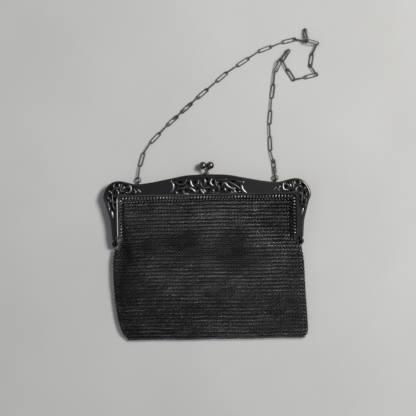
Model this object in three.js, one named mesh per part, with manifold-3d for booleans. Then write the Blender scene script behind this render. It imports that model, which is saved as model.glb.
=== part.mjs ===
// Metal mesh purse: a pierced two-part frame, a ball clasp, a ring-mail bag and a chain.
// Sizes are in millimetres. The purse lies on its back: X runs to its right, Y from the
// bag to the clasp and Z out of its front face. The origin is on the flat back, midway
// between the hinges.

import * as THREE from 'three';
import { mergeVertices } from 'three/addons/utils/BufferGeometryUtils.js';
import Module from 'manifold-3d';

const wasm = await Module();
wasm.setup();

// Frame
const frameHalfWidth = 80;
const footWidth = 4.9;
const barHeight = 16.3;
const barAboveHinge = 36.4;
const legEndAboveHinge = 3.4;
const halfDepth = 4.1;
const partingGap = 0.3;
const plateThickness = 1.1;
const rimRise = 0.5;
const outerRimWidth = 1.1;
const innerRimWidth = 0.9;
const innerCornerRadius = 2.5;
const legCornerRadius = 2.6;
const outlineSteps = 20;
const cornerSteps = 2;

// Pierced work
const scrollWidth = 1.25;
const scrollRise = 0.35;
const scrollStepDegrees = 58;
const panelHalfLength = 28.4;
const windowMargin = 0.35;
const windowTopMargin = 2.9;
const windowSteps = 5;
const cutMargin = 1;

// Hinge
const earRadius = 2.9;
const earThickness = 1.2;
const earStripDepth = 2.6;
const earStripReach = 4.2;
const earInset = 0.5;
const earSteps = 12;
const pinRadius = 0.8;
const pinHeadRadius = 1.5;
const pinHeadThickness = 0.7;
const runningGap = 0.3;
const roundSteps = 8;

// Clasp
const claspBallRadius = 2.9;
const claspStemRadius = 0.8;
const claspFootRadius = 1.5;
const claspFootHeight = 1;
const claspBallRise = 6.8;
const claspBallSpread = 2.85;
const claspFootSpread = 0.4;
const claspBallInset = 1.1;
const ballSteps = 10;

// Lacing and bag
const lacingDiameter = 2.5;
const lacingCornerRadius = 3;
const seatGap = 0.3;
const bagWall = 1.3;
const bagBulge = 5.3;
const bagDrop = 75.6;
const bagThickness = 8;
const bagFlare = 1.2;
const bagCornerRound = 2.4;

// Chain
const wireDiameter = 0.85;
const linkWidth = 3.3;
const linkPitch = 10;
const linkStretch = 0.04;
const flatLinkSink = 0.6;
const ringDiameter = 5;
const ringWireDiameter = 0.75;
const hookGap = 0.5;
const ringSteps = 10;
const eyeRadius = 1.35;
const eyeOffset = 53.1;
const wireSides = 5;
const linkBends = [-90, -45, 0, 45, 90];

// Upper edge of the frame, from its middle to the shoulder: across as a share of the half
// width, rise as a share of the bar's height above its inner edge.
const crest = [
  { across: 0, rise: 1 },
  { across: 0.2, rise: 0.955 },
  { across: 0.366, rise: 0.804 },
  { across: 0.55, rise: 0.64 },
  { across: 0.684, rise: 0.583 },
  { across: 0.756, rise: 0.656 },
  { across: 0.844, rise: 0.742 },
  { across: 0.916, rise: 0.669 },
  { across: 0.964, rise: 0.454 },
  { across: 0.991, rise: 0.2 },
];

// Outer edge from the shoulder to the leg's end: fall is a share of the leg's length.
const flank = [
  { across: 1, fall: 0.03 },
  { across: 0.982, fall: 0.148 },
  { across: 0.964, fall: 0.3 },
  { across: 0.947, fall: 0.453 },
  { across: 0.932, fall: 0.607 },
  { across: 0.926, fall: 0.761 },
  { across: 0.92, fall: 1 },
];

// Scroll bands of the middle panel's right half: centre across as a share of the panel's
// half length, up and radius as shares of the bar's height, arc ends in degrees.
const panelScrolls = [
  { across: 0.218, up: 0.613, radius: 0.209, from: 75, to: 285 },
  { across: 0.106, up: 0.06, radius: 0.276, from: 10, to: 100 },
  { across: 0.338, up: 0.27, radius: 0.153, from: -100, to: 210 },
  { across: 0.327, up: 0.69, radius: 0.135, from: 85, to: 300 },
  { across: 0.479, up: 0.46, radius: 0.233, from: -5, to: 190 },
  { across: 0.479, up: 0.79, radius: 0.098, from: 175, to: 365 },
  { across: 0.754, up: 0.46, radius: 0.239, from: 175, to: 365 },
  { across: 0.754, up: 0.785, radius: 0.147, from: 170, to: 370 },
  { across: 0.754, up: 0.115, radius: 0.115, from: -10, to: 190 },
  { across: 1.11, up: 0.49, radius: 0.368, from: 122, to: 240 },
];

// Scroll bands of the right shoulder: across as a share of the frame's half width.
const shoulderScrolls = [
  { across: 0.84, up: 0.368, radius: 0.239, from: -85, to: 262 },
  { across: 0.853, up: 0.368, radius: 0.125, from: -60, to: 200 },
  { across: 0.755, up: 0.344, radius: 0.196, from: -25, to: 258 },
  { across: 0.938, up: 0.196, radius: 0.196, from: 55, to: 300 },
  { across: 0.918, up: -0.209, radius: 0.196, from: 30, to: 330 },
  { across: 0.912, up: -0.564, radius: 0.166, from: -60, to: 215 },
];

// Outline of the two kinds of window behind the scrolls.
const panelWindow = { endInset: 0.05, bottom: 0.06 };
const shoulderWindow = { start: 0.71, bottom: 0.06, end: -0.72 };

// Bag between the frame's legs: rise as a share of the mouth's height above the hinges, fall
// and inset as shares of its rounded corner, body as a share of the bag's thickness.
const mouthRows = [
  { rise: 1, fall: 0, inset: 1, body: 0.95 },
  { rise: 1, fall: 0.3, inset: 0.3, body: 0.95 },
  { rise: 1, fall: 1, inset: 0, body: 0.95 },
  { rise: 0.6, fall: 0, inset: 0, body: 0.98 },
  { rise: 0.25, fall: 0, inset: 0, body: 1 },
  { rise: 0, fall: 0, inset: 0, body: 1 },
];

// Bag below the hinges: down as a share of its drop, left, right and body as shares of its
// half width and thickness.
const bagRows = [
  { down: 0.07, left: 0.972, right: 0.972, body: 0.97 },
  { down: 0.16, left: 0.988, right: 0.99, body: 1 },
  { down: 0.27, left: 0.99, right: 0.995, body: 1 },
  { down: 0.4, left: 0.986, right: 1.001, body: 0.98 },
  { down: 0.54, left: 0.978, right: 1.008, body: 0.94 },
  { down: 0.68, left: 0.965, right: 1.015, body: 0.9 },
  { down: 0.8, left: 0.945, right: 1.02, body: 0.84 },
  { down: 0.89, left: 0.918, right: 1.023, body: 0.74 },
  { down: 0.955, left: 0.88, right: 1.02, body: 0.6 },
  { down: 0.985, left: 0.83, right: 0.99, body: 0.44 },
  { down: 1, left: 0.805, right: 0.96, body: 0.26 },
];

// Soft folds of the front panel: both ends as shares of the bag's half width and drop,
// spread as a share of the half width and height as a share of the thickness.
const bagFolds = [
  { fromX: -0.87, fromY: 0.02, toX: -0.83, toY: 0.2, spread: 0.035, height: -0.2 },
  { fromX: -0.9, fromY: 0.22, toX: -0.95, toY: 0.66, spread: 0.03, height: -0.15 },
  { fromX: -0.62, fromY: 0.0, toX: 0.3, toY: 0.14, spread: 0.09, height: -0.11 },
  { fromX: -0.46, fromY: 0.05, toX: -0.4, toY: 0.09, spread: 0.11, height: 0.1 },
  { fromX: 0.0, fromY: -0.02, toX: 0.08, toY: 0.0, spread: 0.12, height: 0.09 },
  { fromX: 0.6, fromY: 0.02, toX: 0.7, toY: 0.07, spread: 0.12, height: 0.1 },
  { fromX: 0.3, fromY: 0.4, toX: -0.35, toY: 0.62, spread: 0.1, height: 0.06 },
  { fromX: 0.86, fromY: 0.3, toX: 0.9, toY: 0.85, spread: 0.06, height: -0.08 },
];

// How the bag's section rounds off towards its sides, as shares of its thickness and half
// width, and how far down its hollow reaches, as a share of its drop.
const bagRounding = { edgeDrop: 0.28, sharpness: 8, sideDrop: 0.3, backEdge: 0.96, hollow: 0.96 };

// Places of the section's points across the hollow and the outside of the front.
const hollowColumns = [-0.97, -0.88, -0.78, -0.4, 0.06, 0.52, 0.88];
const bagColumns = [-0.97, -0.88, -0.78, -0.6, -0.4, -0.18, 0.06, 0.3, 0.52, 0.72, 0.88, 0.97];

// Route of the chain as it was laid down by hand, from the left ring to the right one.
const chainRoute = [
  [-51.4, 60.2, 1.7],
  [-48.4, 69.9, 1.7],
  [-42.6, 78.1, 1.7],
  [-28.5, 92.2, 1.7],
  [-6, 112, 1.7],
  [17.1, 131.1, 1.7],
  [42.4, 147.3, 1.7],
  [60.9, 154, 1.7],
  [70.2, 156.1, 1.7],
  [79.4, 154, 1.9],
  [78, 163.3, 2.2],
  [78.9, 154.6, 5.8],
  [87.6, 152.3, 3.6],
  [83.2, 144, 1.9],
  [81.8, 135.6, 1.7],
  [86.4, 128.6, 1.7],
  [78, 126.6, 1.7],
  [68.8, 124.9, 1.7],
  [64, 132.4, 1.7],
  [60.2, 140, 1.9],
  [64.8, 147, 3.2],
  [58.6, 139.9, 4.9],
  [54.4, 131.2, 2.4],
  [51.5, 111.1, 1.7],
  [49.4, 90.9, 1.7],
  [49.8, 70.7, 1.7],
  [52.2, 60.6, 1.7],
];

// Places that follow from the sizes above
const closedDepth = 2 * halfDepth + partingGap;
const middleDepth = closedDepth / 2;
const facePlane = closedDepth - rimRise;
const barTop = barAboveHinge + barHeight;
const legLength = barAboveHinge - legEndAboveHinge;
const legEndHalf = flank[flank.length - 1].across * frameHalfWidth;
const frameInnerHalf = legEndHalf - footWidth;
const earOutset = legEndHalf - earInset;
const bagHalfWidth = frameInnerHalf + bagBulge;
const lacingHalf = frameInnerHalf - seatGap - lacingDiameter / 2;
const lacingTop = barAboveHinge - seatGap - lacingDiameter / 2;
const lacingDepth = closedDepth - halfDepth / 2;
const tongueHalf = lacingHalf - lacingDiameter / 2 - seatGap;
const tongueTop = lacingTop - lacingDiameter / 2 - seatGap;

const silver = { roughness: 0.42, metalness: 0.9 };
const frameMetal = new THREE.MeshStandardMaterial({ color: 0x8b8a84, ...silver });
const claspMetal = new THREE.MeshStandardMaterial({ color: 0x9a9890, ...silver });
const wireMetal = new THREE.MeshStandardMaterial({ color: 0x7d7b74, ...silver });
const meshMetal = new THREE.MeshStandardMaterial({ color: 0x5f5e59, ...silver });

function solidOf(geometry) {
  const bare = geometry.clone();
  bare.deleteAttribute('normal');
  bare.deleteAttribute('uv');
  const merged = mergeVertices(bare, 1e-4);
  return new wasm.Manifold(new wasm.Mesh({
    numProp: 3,
    vertProperties: new Float32Array(merged.attributes.position.array),
    triVerts: new Uint32Array(merged.index.array),
  }));
}

function joined(solids) {
  return solids.reduce((whole, next) => whole.add(next));
}

function geometryOf(solid) {
  const { vertProperties, triVerts } = solid.getMesh();
  const geometry = new THREE.BufferGeometry();
  geometry.setAttribute('position', new THREE.BufferAttribute(vertProperties, 3));
  geometry.setIndex(new THREE.BufferAttribute(triVerts, 1));
  geometry.computeVertexNormals();
  return geometry;
}

function named(name, solid, material) {
  const mesh = new THREE.Mesh(geometryOf(solid), material);
  mesh.name = name;
  return mesh;
}

function mean(points) {
  const sum = new THREE.Vector3();
  points.forEach((point) => sum.add(point));
  return sum.divideScalar(points.length);
}

// A closed skin over rings of points: a loop of rings, or a row of them with its ends capped.
function skin(rings, isLoop) {
  const sides = rings[0].length;
  const points = rings.flat();
  const faces = [];
  const spans = isLoop ? rings.length : rings.length - 1;
  for (let ring = 0; ring < spans; ring += 1) {
    const here = ring * sides;
    const next = ((ring + 1) % rings.length) * sides;
    for (let side = 0; side < sides; side += 1) {
      const turn = (side + 1) % sides;
      faces.push(here + side, here + turn, next + turn, here + side, next + turn, next + side);
    }
  }
  if (!isLoop) {
    const last = (rings.length - 1) * sides;
    const nearCentre = points.push(mean(rings[0])) - 1;
    const farCentre = points.push(mean(rings[rings.length - 1])) - 1;
    for (let side = 0; side < sides; side += 1) {
      const turn = (side + 1) % sides;
      faces.push(nearCentre, turn, side, farCentre, last + side, last + turn);
    }
  }
  const geometry = new THREE.BufferGeometry().setFromPoints(points);
  geometry.setIndex(faces);
  return turnedOut(geometry);
}

// The same geometry with its faces pointing out.
function turnedOut(geometry) {
  const { position } = geometry.attributes;
  const corners = geometry.index.array;
  const [a, b, c] = [new THREE.Vector3(), new THREE.Vector3(), new THREE.Vector3()];
  let volume = 0;
  for (let face = 0; face < corners.length; face += 3) {
    a.fromBufferAttribute(position, corners[face]);
    b.fromBufferAttribute(position, corners[face + 1]);
    c.fromBufferAttribute(position, corners[face + 2]);
    volume += a.dot(b.cross(c));
  }
  if (volume < 0) {
    geometry.setIndex(Array.from(corners).reverse());
  }
  return geometry;
}

// Round wire along a path that lies in the plane with the given normal.
function wireRings(path, normal, radius, sides, isLoop) {
  return path.map((point, place) => {
    const count = path.length;
    const before = isLoop ? path[(place + count - 1) % count] : path[Math.max(place - 1, 0)];
    const after = isLoop ? path[(place + 1) % count] : path[Math.min(place + 1, count - 1)];
    const arriving = point.clone().sub(before).normalize();
    const leaving = after.clone().sub(point).normalize();
    const along = arriving.clone().add(leaving).normalize();
    const out = along.clone().cross(normal);
    const mitre = 1 / Math.max(along.dot(leaving), along.dot(arriving));
    return Array.from({ length: sides }, (_, side) => {
      const angle = (2 * Math.PI * side) / sides;
      return point.clone()
        .addScaledVector(out, radius * mitre * Math.cos(angle))
        .addScaledVector(normal, radius * Math.sin(angle));
    });
  });
}

function extruded(shape, from, to) {
  const geometry = new THREE.ExtrudeGeometry(shape, { depth: to - from, bevelEnabled: false });
  return solidOf(geometry.translate(0, 0, from));
}

function circlePoints(radius, sides) {
  return new THREE.EllipseCurve(0, 0, radius, radius).getPoints(sides).slice(0, sides);
}

function cornerArc(centreX, centreY, radius, fromDegrees, toDegrees, steps) {
  const curve = new THREE.EllipseCurve(
    centreX,
    centreY,
    radius,
    radius,
    THREE.MathUtils.degToRad(fromDegrees),
    THREE.MathUtils.degToRad(toDegrees),
    toDegrees < fromDegrees,
  );
  return curve.getPoints(steps);
}

function mirrored(points) {
  return points.map((point) => new THREE.Vector2(-point.x, point.y)).reverse();
}

// Both sides of a band of even width along an open line.
function bandShape(line, shiftFrom, shiftTo) {
  const shifted = (shift) => line.map((point, place) => {
    const before = line[Math.max(place - 1, 0)];
    const after = line[Math.min(place + 1, line.length - 1)];
    const along = after.clone().sub(before).normalize();
    return new THREE.Vector2(point.x - along.y * shift, point.y + along.x * shift);
  });
  return new THREE.Shape([...shifted(shiftFrom), ...shifted(shiftTo).reverse()]);
}

function outerEdge() {
  const knots = [
    ...crest.map((row) => new THREE.Vector2(
      row.across * frameHalfWidth,
      barAboveHinge + row.rise * barHeight,
    )),
    ...flank.map((row) => new THREE.Vector2(
      row.across * frameHalfWidth,
      barAboveHinge - row.fall * legLength,
    )),
  ];
  const right = new THREE.SplineCurve(knots).getPoints(outlineSteps);
  return [...mirrored(right).slice(0, -1), ...right];
}

function innerEdge() {
  const corner = cornerArc(
    frameInnerHalf - innerCornerRadius,
    barAboveHinge - innerCornerRadius,
    innerCornerRadius,
    90,
    0,
    cornerSteps,
  );
  const foot = cornerArc(
    frameInnerHalf + legCornerRadius,
    legEndAboveHinge + legCornerRadius,
    legCornerRadius,
    180,
    270,
    cornerSteps,
  );
  const right = [...corner, ...foot];
  return [...mirrored(right), ...right];
}

function plateShape() {
  return new THREE.Shape([...outerEdge(), ...innerEdge().reverse()]);
}

function edgeHeight(across) {
  const line = outerEdge().filter((point) => point.x >= 0 && point.y > barAboveHinge);
  const after = line.findIndex((point) => point.x >= across);
  const [low, high] = [line[Math.max(after - 1, 0)], line[after]];
  const share = low === high ? 0 : (across - low.x) / (high.x - low.x);
  return THREE.MathUtils.lerp(low.y, high.y, share);
}

function panelWindowShape() {
  const inset = outerRimWidth + windowMargin;
  const reach = panelHalfLength * (1 - panelWindow.endInset);
  const bottom = barAboveHinge + innerRimWidth + panelWindow.bottom * barHeight;
  const limit = barTop - windowTopMargin;
  const top = Array.from({ length: windowSteps + 1 }, (_, place) => {
    const across = (reach * place) / windowSteps;
    return new THREE.Vector2(across, Math.min(edgeHeight(across) - inset, limit));
  });
  const waist = new THREE.Vector2(
    reach - panelWindow.endInset * panelHalfLength,
    (bottom + top[windowSteps].y) / 2,
  );
  const right = [...top, waist, new THREE.Vector2(reach, bottom)];
  return new THREE.Shape([...mirrored(right).slice(0, -1), ...right]);
}

function shoulderWindowShape() {
  const inset = outerRimWidth + windowMargin;
  const start = shoulderWindow.start * frameHalfWidth;
  const bottom = barAboveHinge + innerRimWidth + shoulderWindow.bottom * barHeight;
  const end = barAboveHinge + shoulderWindow.end * barHeight;
  const inner = frameInnerHalf + innerRimWidth + windowMargin;
  const rim = outerEdge().filter((point) => point.x > start && point.y > end);
  const outside = rim.map((point, place) => {
    const before = rim[Math.max(place - 1, 0)];
    const after = rim[Math.min(place + 1, rim.length - 1)];
    const along = after.clone().sub(before).normalize();
    return new THREE.Vector2(point.x + along.y * inset, point.y - along.x * inset);
  });
  return new THREE.Shape([
    ...outside,
    new THREE.Vector2(inner, end),
    new THREE.Vector2(inner, bottom),
    new THREE.Vector2(start, bottom),
  ]);
}

function scrollBand(row, spanAcross, side) {
  const arc = cornerArc(
    row.across * spanAcross,
    barAboveHinge + row.up * barHeight,
    row.radius * barHeight,
    row.from,
    row.to,
    Math.round((row.to - row.from) / scrollStepDegrees),
  );
  const line = side > 0 ? arc : mirrored(arc);
  return bandShape(line, -scrollWidth / 2, scrollWidth / 2);
}

// The pierced face of one frame half, facing +Z.
function piercedPlate() {
  const bottom = facePlane - plateThickness;
  const plate = extruded(plateShape(), bottom, facePlane);
  const through = [bottom - cutMargin, facePlane + cutMargin];
  const shoulder = extruded(shoulderWindowShape(), ...through);
  const panel = extruded(panelWindowShape(), ...through);
  const windows = joined([panel, shoulder, shoulder.mirror([1, 0, 0])]);
  const bands = [-1, 1].flatMap((side) => [
    ...panelScrolls.map((row) => scrollBand(row, panelHalfLength, side)),
    ...shoulderScrolls.map((row) => scrollBand(row, frameHalfWidth, side)),
  ]);
  const scrolls = joined(bands.map((shape) => extruded(shape, bottom, facePlane + scrollRise)));
  const limit = extruded(plateShape(), bottom, facePlane + scrollRise);
  return plate.subtract(windows).add(scrolls.intersect(limit));
}

// Raised rims that turn down into the walls of the channel.
function rimWalls() {
  const outer = bandShape(outerEdge(), 0, -outerRimWidth);
  const inner = bandShape(innerEdge(), 0, innerRimWidth);
  const start = middleDepth + partingGap / 2;
  return [extruded(outer, start, closedDepth), extruded(inner, start, closedDepth)];
}

// An ear round the hinge axis, on the right side, with the strip that joins it to its leg.
function hingeEar(outset) {
  const turn = new THREE.Matrix4().makeRotationZ(-Math.PI / 2);
  const centre = outset - earThickness / 2;
  const disc = new THREE.CylinderGeometry(earRadius, earRadius, earThickness, earSteps)
    .applyMatrix4(turn)
    .translate(centre, 0, middleDepth);
  const stripDepth = facePlane - earStripDepth;
  const strip = new THREE.BoxGeometry(earThickness, legEndAboveHinge + earStripReach, earStripDepth)
    .translate(centre, (legEndAboveHinge + earStripReach) / 2, stripDepth + earStripDepth / 2);
  const bore = pinRadius + runningGap;
  const hole = new THREE.CylinderGeometry(bore, bore, 3 * earThickness, roundSteps)
    .applyMatrix4(turn)
    .translate(centre, 0, middleDepth);
  return solidOf(disc).add(solidOf(strip)).subtract(solidOf(hole));
}

// One frame half, facing +Z, from its face plate and the place of its hinge ears.
function frameHalf(plate, earPlace) {
  const ear = hingeEar(earPlace);
  return joined([plate, ...rimWalls(), ear, ear.mirror([1, 0, 0])]);
}

function turnedToBack(solid) {
  return solid.mirror([0, 0, 1]).translate([0, 0, closedDepth]);
}

function chainEyeCentre(side) {
  const height = edgeHeight(eyeOffset) + eyeRadius - wireDiameter / 2;
  return new THREE.Vector3(side * eyeOffset, height, halfDepth / 2);
}

function chainEye(side) {
  const centre = chainEyeCentre(side);
  const path = circlePoints(eyeRadius, roundSteps).map((point) => (
    new THREE.Vector3(centre.x, centre.y + point.x, centre.z + point.y)
  ));
  const rings = wireRings(path, new THREE.Vector3(1, 0, 0), wireDiameter / 2, wireSides, true);
  return solidOf(skin(rings, true));
}

function frames() {
  const backEar = earOutset - earThickness - runningGap;
  const plainPlate = extruded(plateShape(), facePlane - plateThickness, facePlane);
  const back = turnedToBack(frameHalf(plainPlate, backEar)).add(chainEye(-1)).add(chainEye(1));
  return [
    named('front_frame', frameHalf(piercedPlate(), earOutset), frameMetal),
    named('back_frame', back, frameMetal),
  ];
}

function hingePin(name, side) {
  const inside = earOutset - 2 * earThickness - 2 * runningGap;
  const outside = earOutset + runningGap;
  const profile = [
    [0, inside - pinHeadThickness],
    [pinHeadRadius, inside - pinHeadThickness],
    [pinHeadRadius, inside],
    [pinRadius, inside],
    [pinRadius, outside],
    [pinHeadRadius, outside],
    [pinHeadRadius, outside + pinHeadThickness],
    [0, outside + pinHeadThickness],
  ].map(([radius, along]) => new THREE.Vector2(radius, along));
  const geometry = new THREE.LatheGeometry(profile, roundSteps).rotateZ((-side * Math.PI) / 2);
  return named(name, solidOf(geometry.translate(0, 0, middleDepth)), claspMetal);
}

// One ball of the clasp on its leaning stem and foot.
function claspBall(name, side, footDepth, ballDepth) {
  const foot = new THREE.Vector3(-side * claspFootSpread, barTop + seatGap, footDepth);
  const ball = new THREE.Vector3(side * claspBallSpread, barTop + claspBallRise, ballDepth);
  const stemStart = foot.clone().add(new THREE.Vector3(0, claspFootHeight / 2, 0));
  const along = ball.clone().sub(stemStart);
  const lean = new THREE.Quaternion().setFromUnitVectors(
    new THREE.Vector3(0, 1, 0),
    along.clone().normalize(),
  );
  const middle = stemStart.clone().addScaledVector(along, 0.5);
  const stem = new THREE.CylinderGeometry(claspStemRadius, claspStemRadius, along.length(), roundSteps)
    .applyQuaternion(lean)
    .translate(...middle.toArray());
  const collar = new THREE.CylinderGeometry(claspFootRadius, claspFootRadius, claspFootHeight, roundSteps)
    .translate(foot.x, foot.y + claspFootHeight / 2, foot.z);
  const sphere = new THREE.SphereGeometry(claspBallRadius, ballSteps, ballSteps - 3)
    .translate(...ball.toArray());
  return named(name, joined([collar, stem, sphere].map(solidOf)), claspMetal);
}

function clasp() {
  const backMiddle = halfDepth / 2;
  const frontMiddle = closedDepth - backMiddle;
  return [
    claspBall('clasp_front', -1, frontMiddle, frontMiddle - claspBallInset),
    claspBall('clasp_back', 1, backMiddle, backMiddle + claspBallInset),
  ];
}

// The outside of the spiral wire that holds the mesh to one frame half.
function lacing(name, depth) {
  const corner = cornerArc(
    lacingHalf - lacingCornerRadius,
    lacingTop - lacingCornerRadius,
    lacingCornerRadius,
    90,
    0,
    cornerSteps + 1,
  );
  const right = [...corner, new THREE.Vector2(lacingHalf, legEndAboveHinge)];
  const path = [...mirrored(right), ...right].map((point) => new THREE.Vector3(point.x, point.y, depth));
  const rings = wireRings(path, new THREE.Vector3(0, 0, 1), lacingDiameter / 2, 6, false);
  return named(name, solidOf(skin(rings, false)), wireMetal);
}

// Height that the folds add to the front panel at a place.
function foldHeight(across, down) {
  const place = new THREE.Vector2(across, (down * bagDrop) / bagHalfWidth);
  return bagFolds.reduce((sum, fold) => {
    const from = new THREE.Vector2(fold.fromX, (fold.fromY * bagDrop) / bagHalfWidth);
    const to = new THREE.Vector2(fold.toX, (fold.toY * bagDrop) / bagHalfWidth);
    const run = to.clone().sub(from);
    const share = THREE.MathUtils.clamp(place.clone().sub(from).dot(run) / run.lengthSq(), 0, 1);
    const away = place.distanceTo(from.addScaledVector(run, share)) / fold.spread;
    return sum + fold.height * bagThickness * Math.exp(-away * away);
  }, 0);
}

// Rows of the bag from the mouth to the bottom, in millimetres.
function bagStations() {
  const above = mouthRows.map((row) => ({
    y: tongueTop * row.rise - bagCornerRound * row.fall,
    half: tongueHalf - bagCornerRound * row.inset,
    body: bagThickness * row.body,
  }));
  const below = bagRows.map((row) => ({
    y: -row.down * bagDrop,
    left: row.left * bagHalfWidth,
    right: row.right * bagHalfWidth,
    body: row.body * bagThickness,
    isOpen: false,
  }));
  const [{ left, right, body }] = below;
  const shoulder = { y: -earRadius - seatGap, half: tongueHalf + seatGap, body };
  const flare = {
    ...below[0],
    y: shoulder.y - bagFlare,
    left: left - bagFlare / 2,
    right: right - bagFlare / 2,
  };
  const open = [...above, shoulder].map((row) => (
    { ...row, left: row.half, right: row.half, isOpen: true }
  ));
  return [...open, flare, ...below];
}

// One closed section of the bag: the front from left to right, then the back.
function bagSection(row, columns, wall, spread) {
  const [left, right] = [row.left + spread, row.right + spread];
  const top = (share) => {
    const across = share * (share < 0 ? row.left : row.right);
    const nearEdge = Math.abs(share) ** bagRounding.sharpness;
    const depth = row.body * (row.isOpen ? 1 : 1 - bagRounding.edgeDrop * nearEdge);
    const soft = row.isOpen ? 1 - nearEdge : 1;
    return depth + soft * foldHeight(across / bagHalfWidth, -row.y / bagDrop) - wall;
  };
  const reach = (share) => share * (share < 0 ? left : right);
  const front = columns.map((share) => new THREE.Vector3(reach(share), row.y, top(share)));
  const drop = row.isOpen ? 0 : bagRounding.sideDrop;
  const cornerTop = (share) => top(share) - drop * (top(share) - wall);
  const cornerBottom = wall + (drop * row.body) / 2;
  return [
    new THREE.Vector3(-left, row.y, cornerTop(-1)),
    ...front,
    new THREE.Vector3(right, row.y, cornerTop(1)),
    new THREE.Vector3(right, row.y, cornerBottom),
    new THREE.Vector3(reach(bagRounding.backEdge), row.y, wall),
    new THREE.Vector3(0, row.y, wall),
    new THREE.Vector3(reach(-bagRounding.backEdge), row.y, wall),
    new THREE.Vector3(-left, row.y, cornerBottom),
  ];
}

function meshBag() {
  const rows = bagStations();
  const lowest = -bagDrop * bagRounding.hollow;
  const outside = rows.map((row) => bagSection(row, bagColumns, 0, 0));
  const hollow = [{ ...rows[0], y: rows[0].y + bagWall }, ...rows]
    .filter((row, place) => row.isOpen || (row.y > lowest && place % 2 === 0))
    .map((row) => bagSection(row, hollowColumns, bagWall, row.isOpen ? 2 * bagWall : -bagWall));
  const shell = solidOf(skin(outside, false)).subtract(solidOf(skin(hollow, false)));
  return named('mesh_bag', shell, meshMetal);
}

function ringCentre(side) {
  return chainEyeCentre(side).add(new THREE.Vector3(0, (ringDiameter - ringWireDiameter) / 2, 0));
}

function jumpRing(name, side) {
  const centre = ringCentre(side);
  const path = circlePoints((ringDiameter - ringWireDiameter) / 2, ringSteps).map((point) => (
    new THREE.Vector3(centre.x + point.x, centre.y + point.y, centre.z)
  ));
  const rings = wireRings(path, new THREE.Vector3(0, 0, 1), ringWireDiameter / 2, wireSides, true);
  return named(name, solidOf(skin(rings, true)), wireMetal);
}

// Where the chain's end link hangs in its ring.
function chainEnd(side) {
  const ringInside = ringDiameter / 2 - ringWireDiameter;
  return ringCentre(side).add(new THREE.Vector3(0, ringInside - hookGap, 0));
}

// Joints between links: each stretch of the route holds links no longer than their pitch,
// and the chain has an odd number of them, so that both end links stand on edge.
function chainJoints() {
  const stops = [chainEnd(-1), ...chainRoute.map((row) => new THREE.Vector3(...row)), chainEnd(1)];
  const stretches = stops.slice(1).map((stop, place) => new THREE.LineCurve3(stops[place], stop));
  const counts = stretches.map((line) => Math.ceil(line.getLength() / linkPitch - linkStretch));
  const total = counts.reduce((sum, count) => sum + count, 0);
  counts[counts.indexOf(Math.max(...counts))] += (total + 1) % 2;
  return [stops[0], ...stretches.flatMap((line, place) => line.getPoints(counts[place]).slice(1))];
}

// One oblong link between two joints, lying flat or standing on edge.
function chainLink(from, to, isFlat) {
  const along = to.clone().sub(from).normalize();
  const flatSide = new THREE.Vector3(-along.y, along.x, 0).normalize();
  const edgeSide = along.clone().cross(flatSide);
  const wide = isFlat ? flatSide : edgeSide;
  const normal = isFlat ? edgeSide : flatSide;
  const bend = (linkWidth - wireDiameter) / 2;
  const reach = linkPitch / 2 + wireDiameter / 2 - bend;
  const middle = from.clone().add(to).multiplyScalar(0.5);
  if (isFlat) {
    middle.addScaledVector(edgeSide, -flatLinkSink);
  }
  const path = [1, -1].flatMap((end) => linkBends.map((degrees) => {
    const angle = THREE.MathUtils.degToRad(degrees);
    return middle.clone()
      .addScaledVector(along, end * (reach + bend * Math.cos(angle)))
      .addScaledVector(wide, end * bend * Math.sin(angle));
  }));
  return solidOf(skin(wireRings(path, normal, wireDiameter / 2, wireSides, true), true));
}

function chain() {
  const joints = chainJoints();
  const links = joints.slice(1).map((joint, place) => chainLink(joints[place], joint, place % 2 === 1));
  return named('chain', joined(links), wireMetal);
}

const purse = new THREE.Group();
purse.name = 'metal_mesh_purse';
purse.add(
  ...frames(),
  hingePin('hinge_pin_left', -1),
  hingePin('hinge_pin_right', 1),
  ...clasp(),
  lacing('front_lacing', lacingDepth),
  lacing('back_lacing', closedDepth - lacingDepth),
  meshBag(),
  jumpRing('jump_ring_left', -1),
  jumpRing('jump_ring_right', 1),
  chain(),
);

export default purse;
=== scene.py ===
import logging
import math
from collections.abc import Sequence
from dataclasses import dataclass, field, replace
from enum import Enum

import bpy
import numpy as np
from mathutils import Matrix, Vector


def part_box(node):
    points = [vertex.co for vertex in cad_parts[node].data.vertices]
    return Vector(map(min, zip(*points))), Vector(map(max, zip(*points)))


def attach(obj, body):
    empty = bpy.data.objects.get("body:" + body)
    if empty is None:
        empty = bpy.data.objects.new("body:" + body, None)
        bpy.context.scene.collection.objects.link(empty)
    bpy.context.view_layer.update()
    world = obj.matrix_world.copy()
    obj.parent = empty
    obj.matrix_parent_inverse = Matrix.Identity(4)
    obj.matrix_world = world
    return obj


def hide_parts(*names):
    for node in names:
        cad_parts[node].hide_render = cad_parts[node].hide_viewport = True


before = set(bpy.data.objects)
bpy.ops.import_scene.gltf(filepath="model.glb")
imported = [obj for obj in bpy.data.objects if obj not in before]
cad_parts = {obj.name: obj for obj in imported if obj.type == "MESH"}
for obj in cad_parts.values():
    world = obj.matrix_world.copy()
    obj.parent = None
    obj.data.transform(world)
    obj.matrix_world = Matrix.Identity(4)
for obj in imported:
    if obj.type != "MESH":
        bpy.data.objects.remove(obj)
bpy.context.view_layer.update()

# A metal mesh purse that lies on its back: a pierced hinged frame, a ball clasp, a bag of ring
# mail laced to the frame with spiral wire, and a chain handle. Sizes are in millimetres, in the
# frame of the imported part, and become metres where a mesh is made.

MM = 0.001
# Name of the stored brightness of each point: its wear, and on some pieces painted light and
# shade.
WEAR_AND_SHADE = "wear"
PLATE_CREASE = 12.0
ROUND_CREASE = 80.0

Point = tuple[float, float]
Colour = tuple[float, float, float]

log = logging.getLogger("mesh_purse")


class Side(Enum):
    """The purse's two faces."""

    FRONT = 1
    BACK = -1


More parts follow.
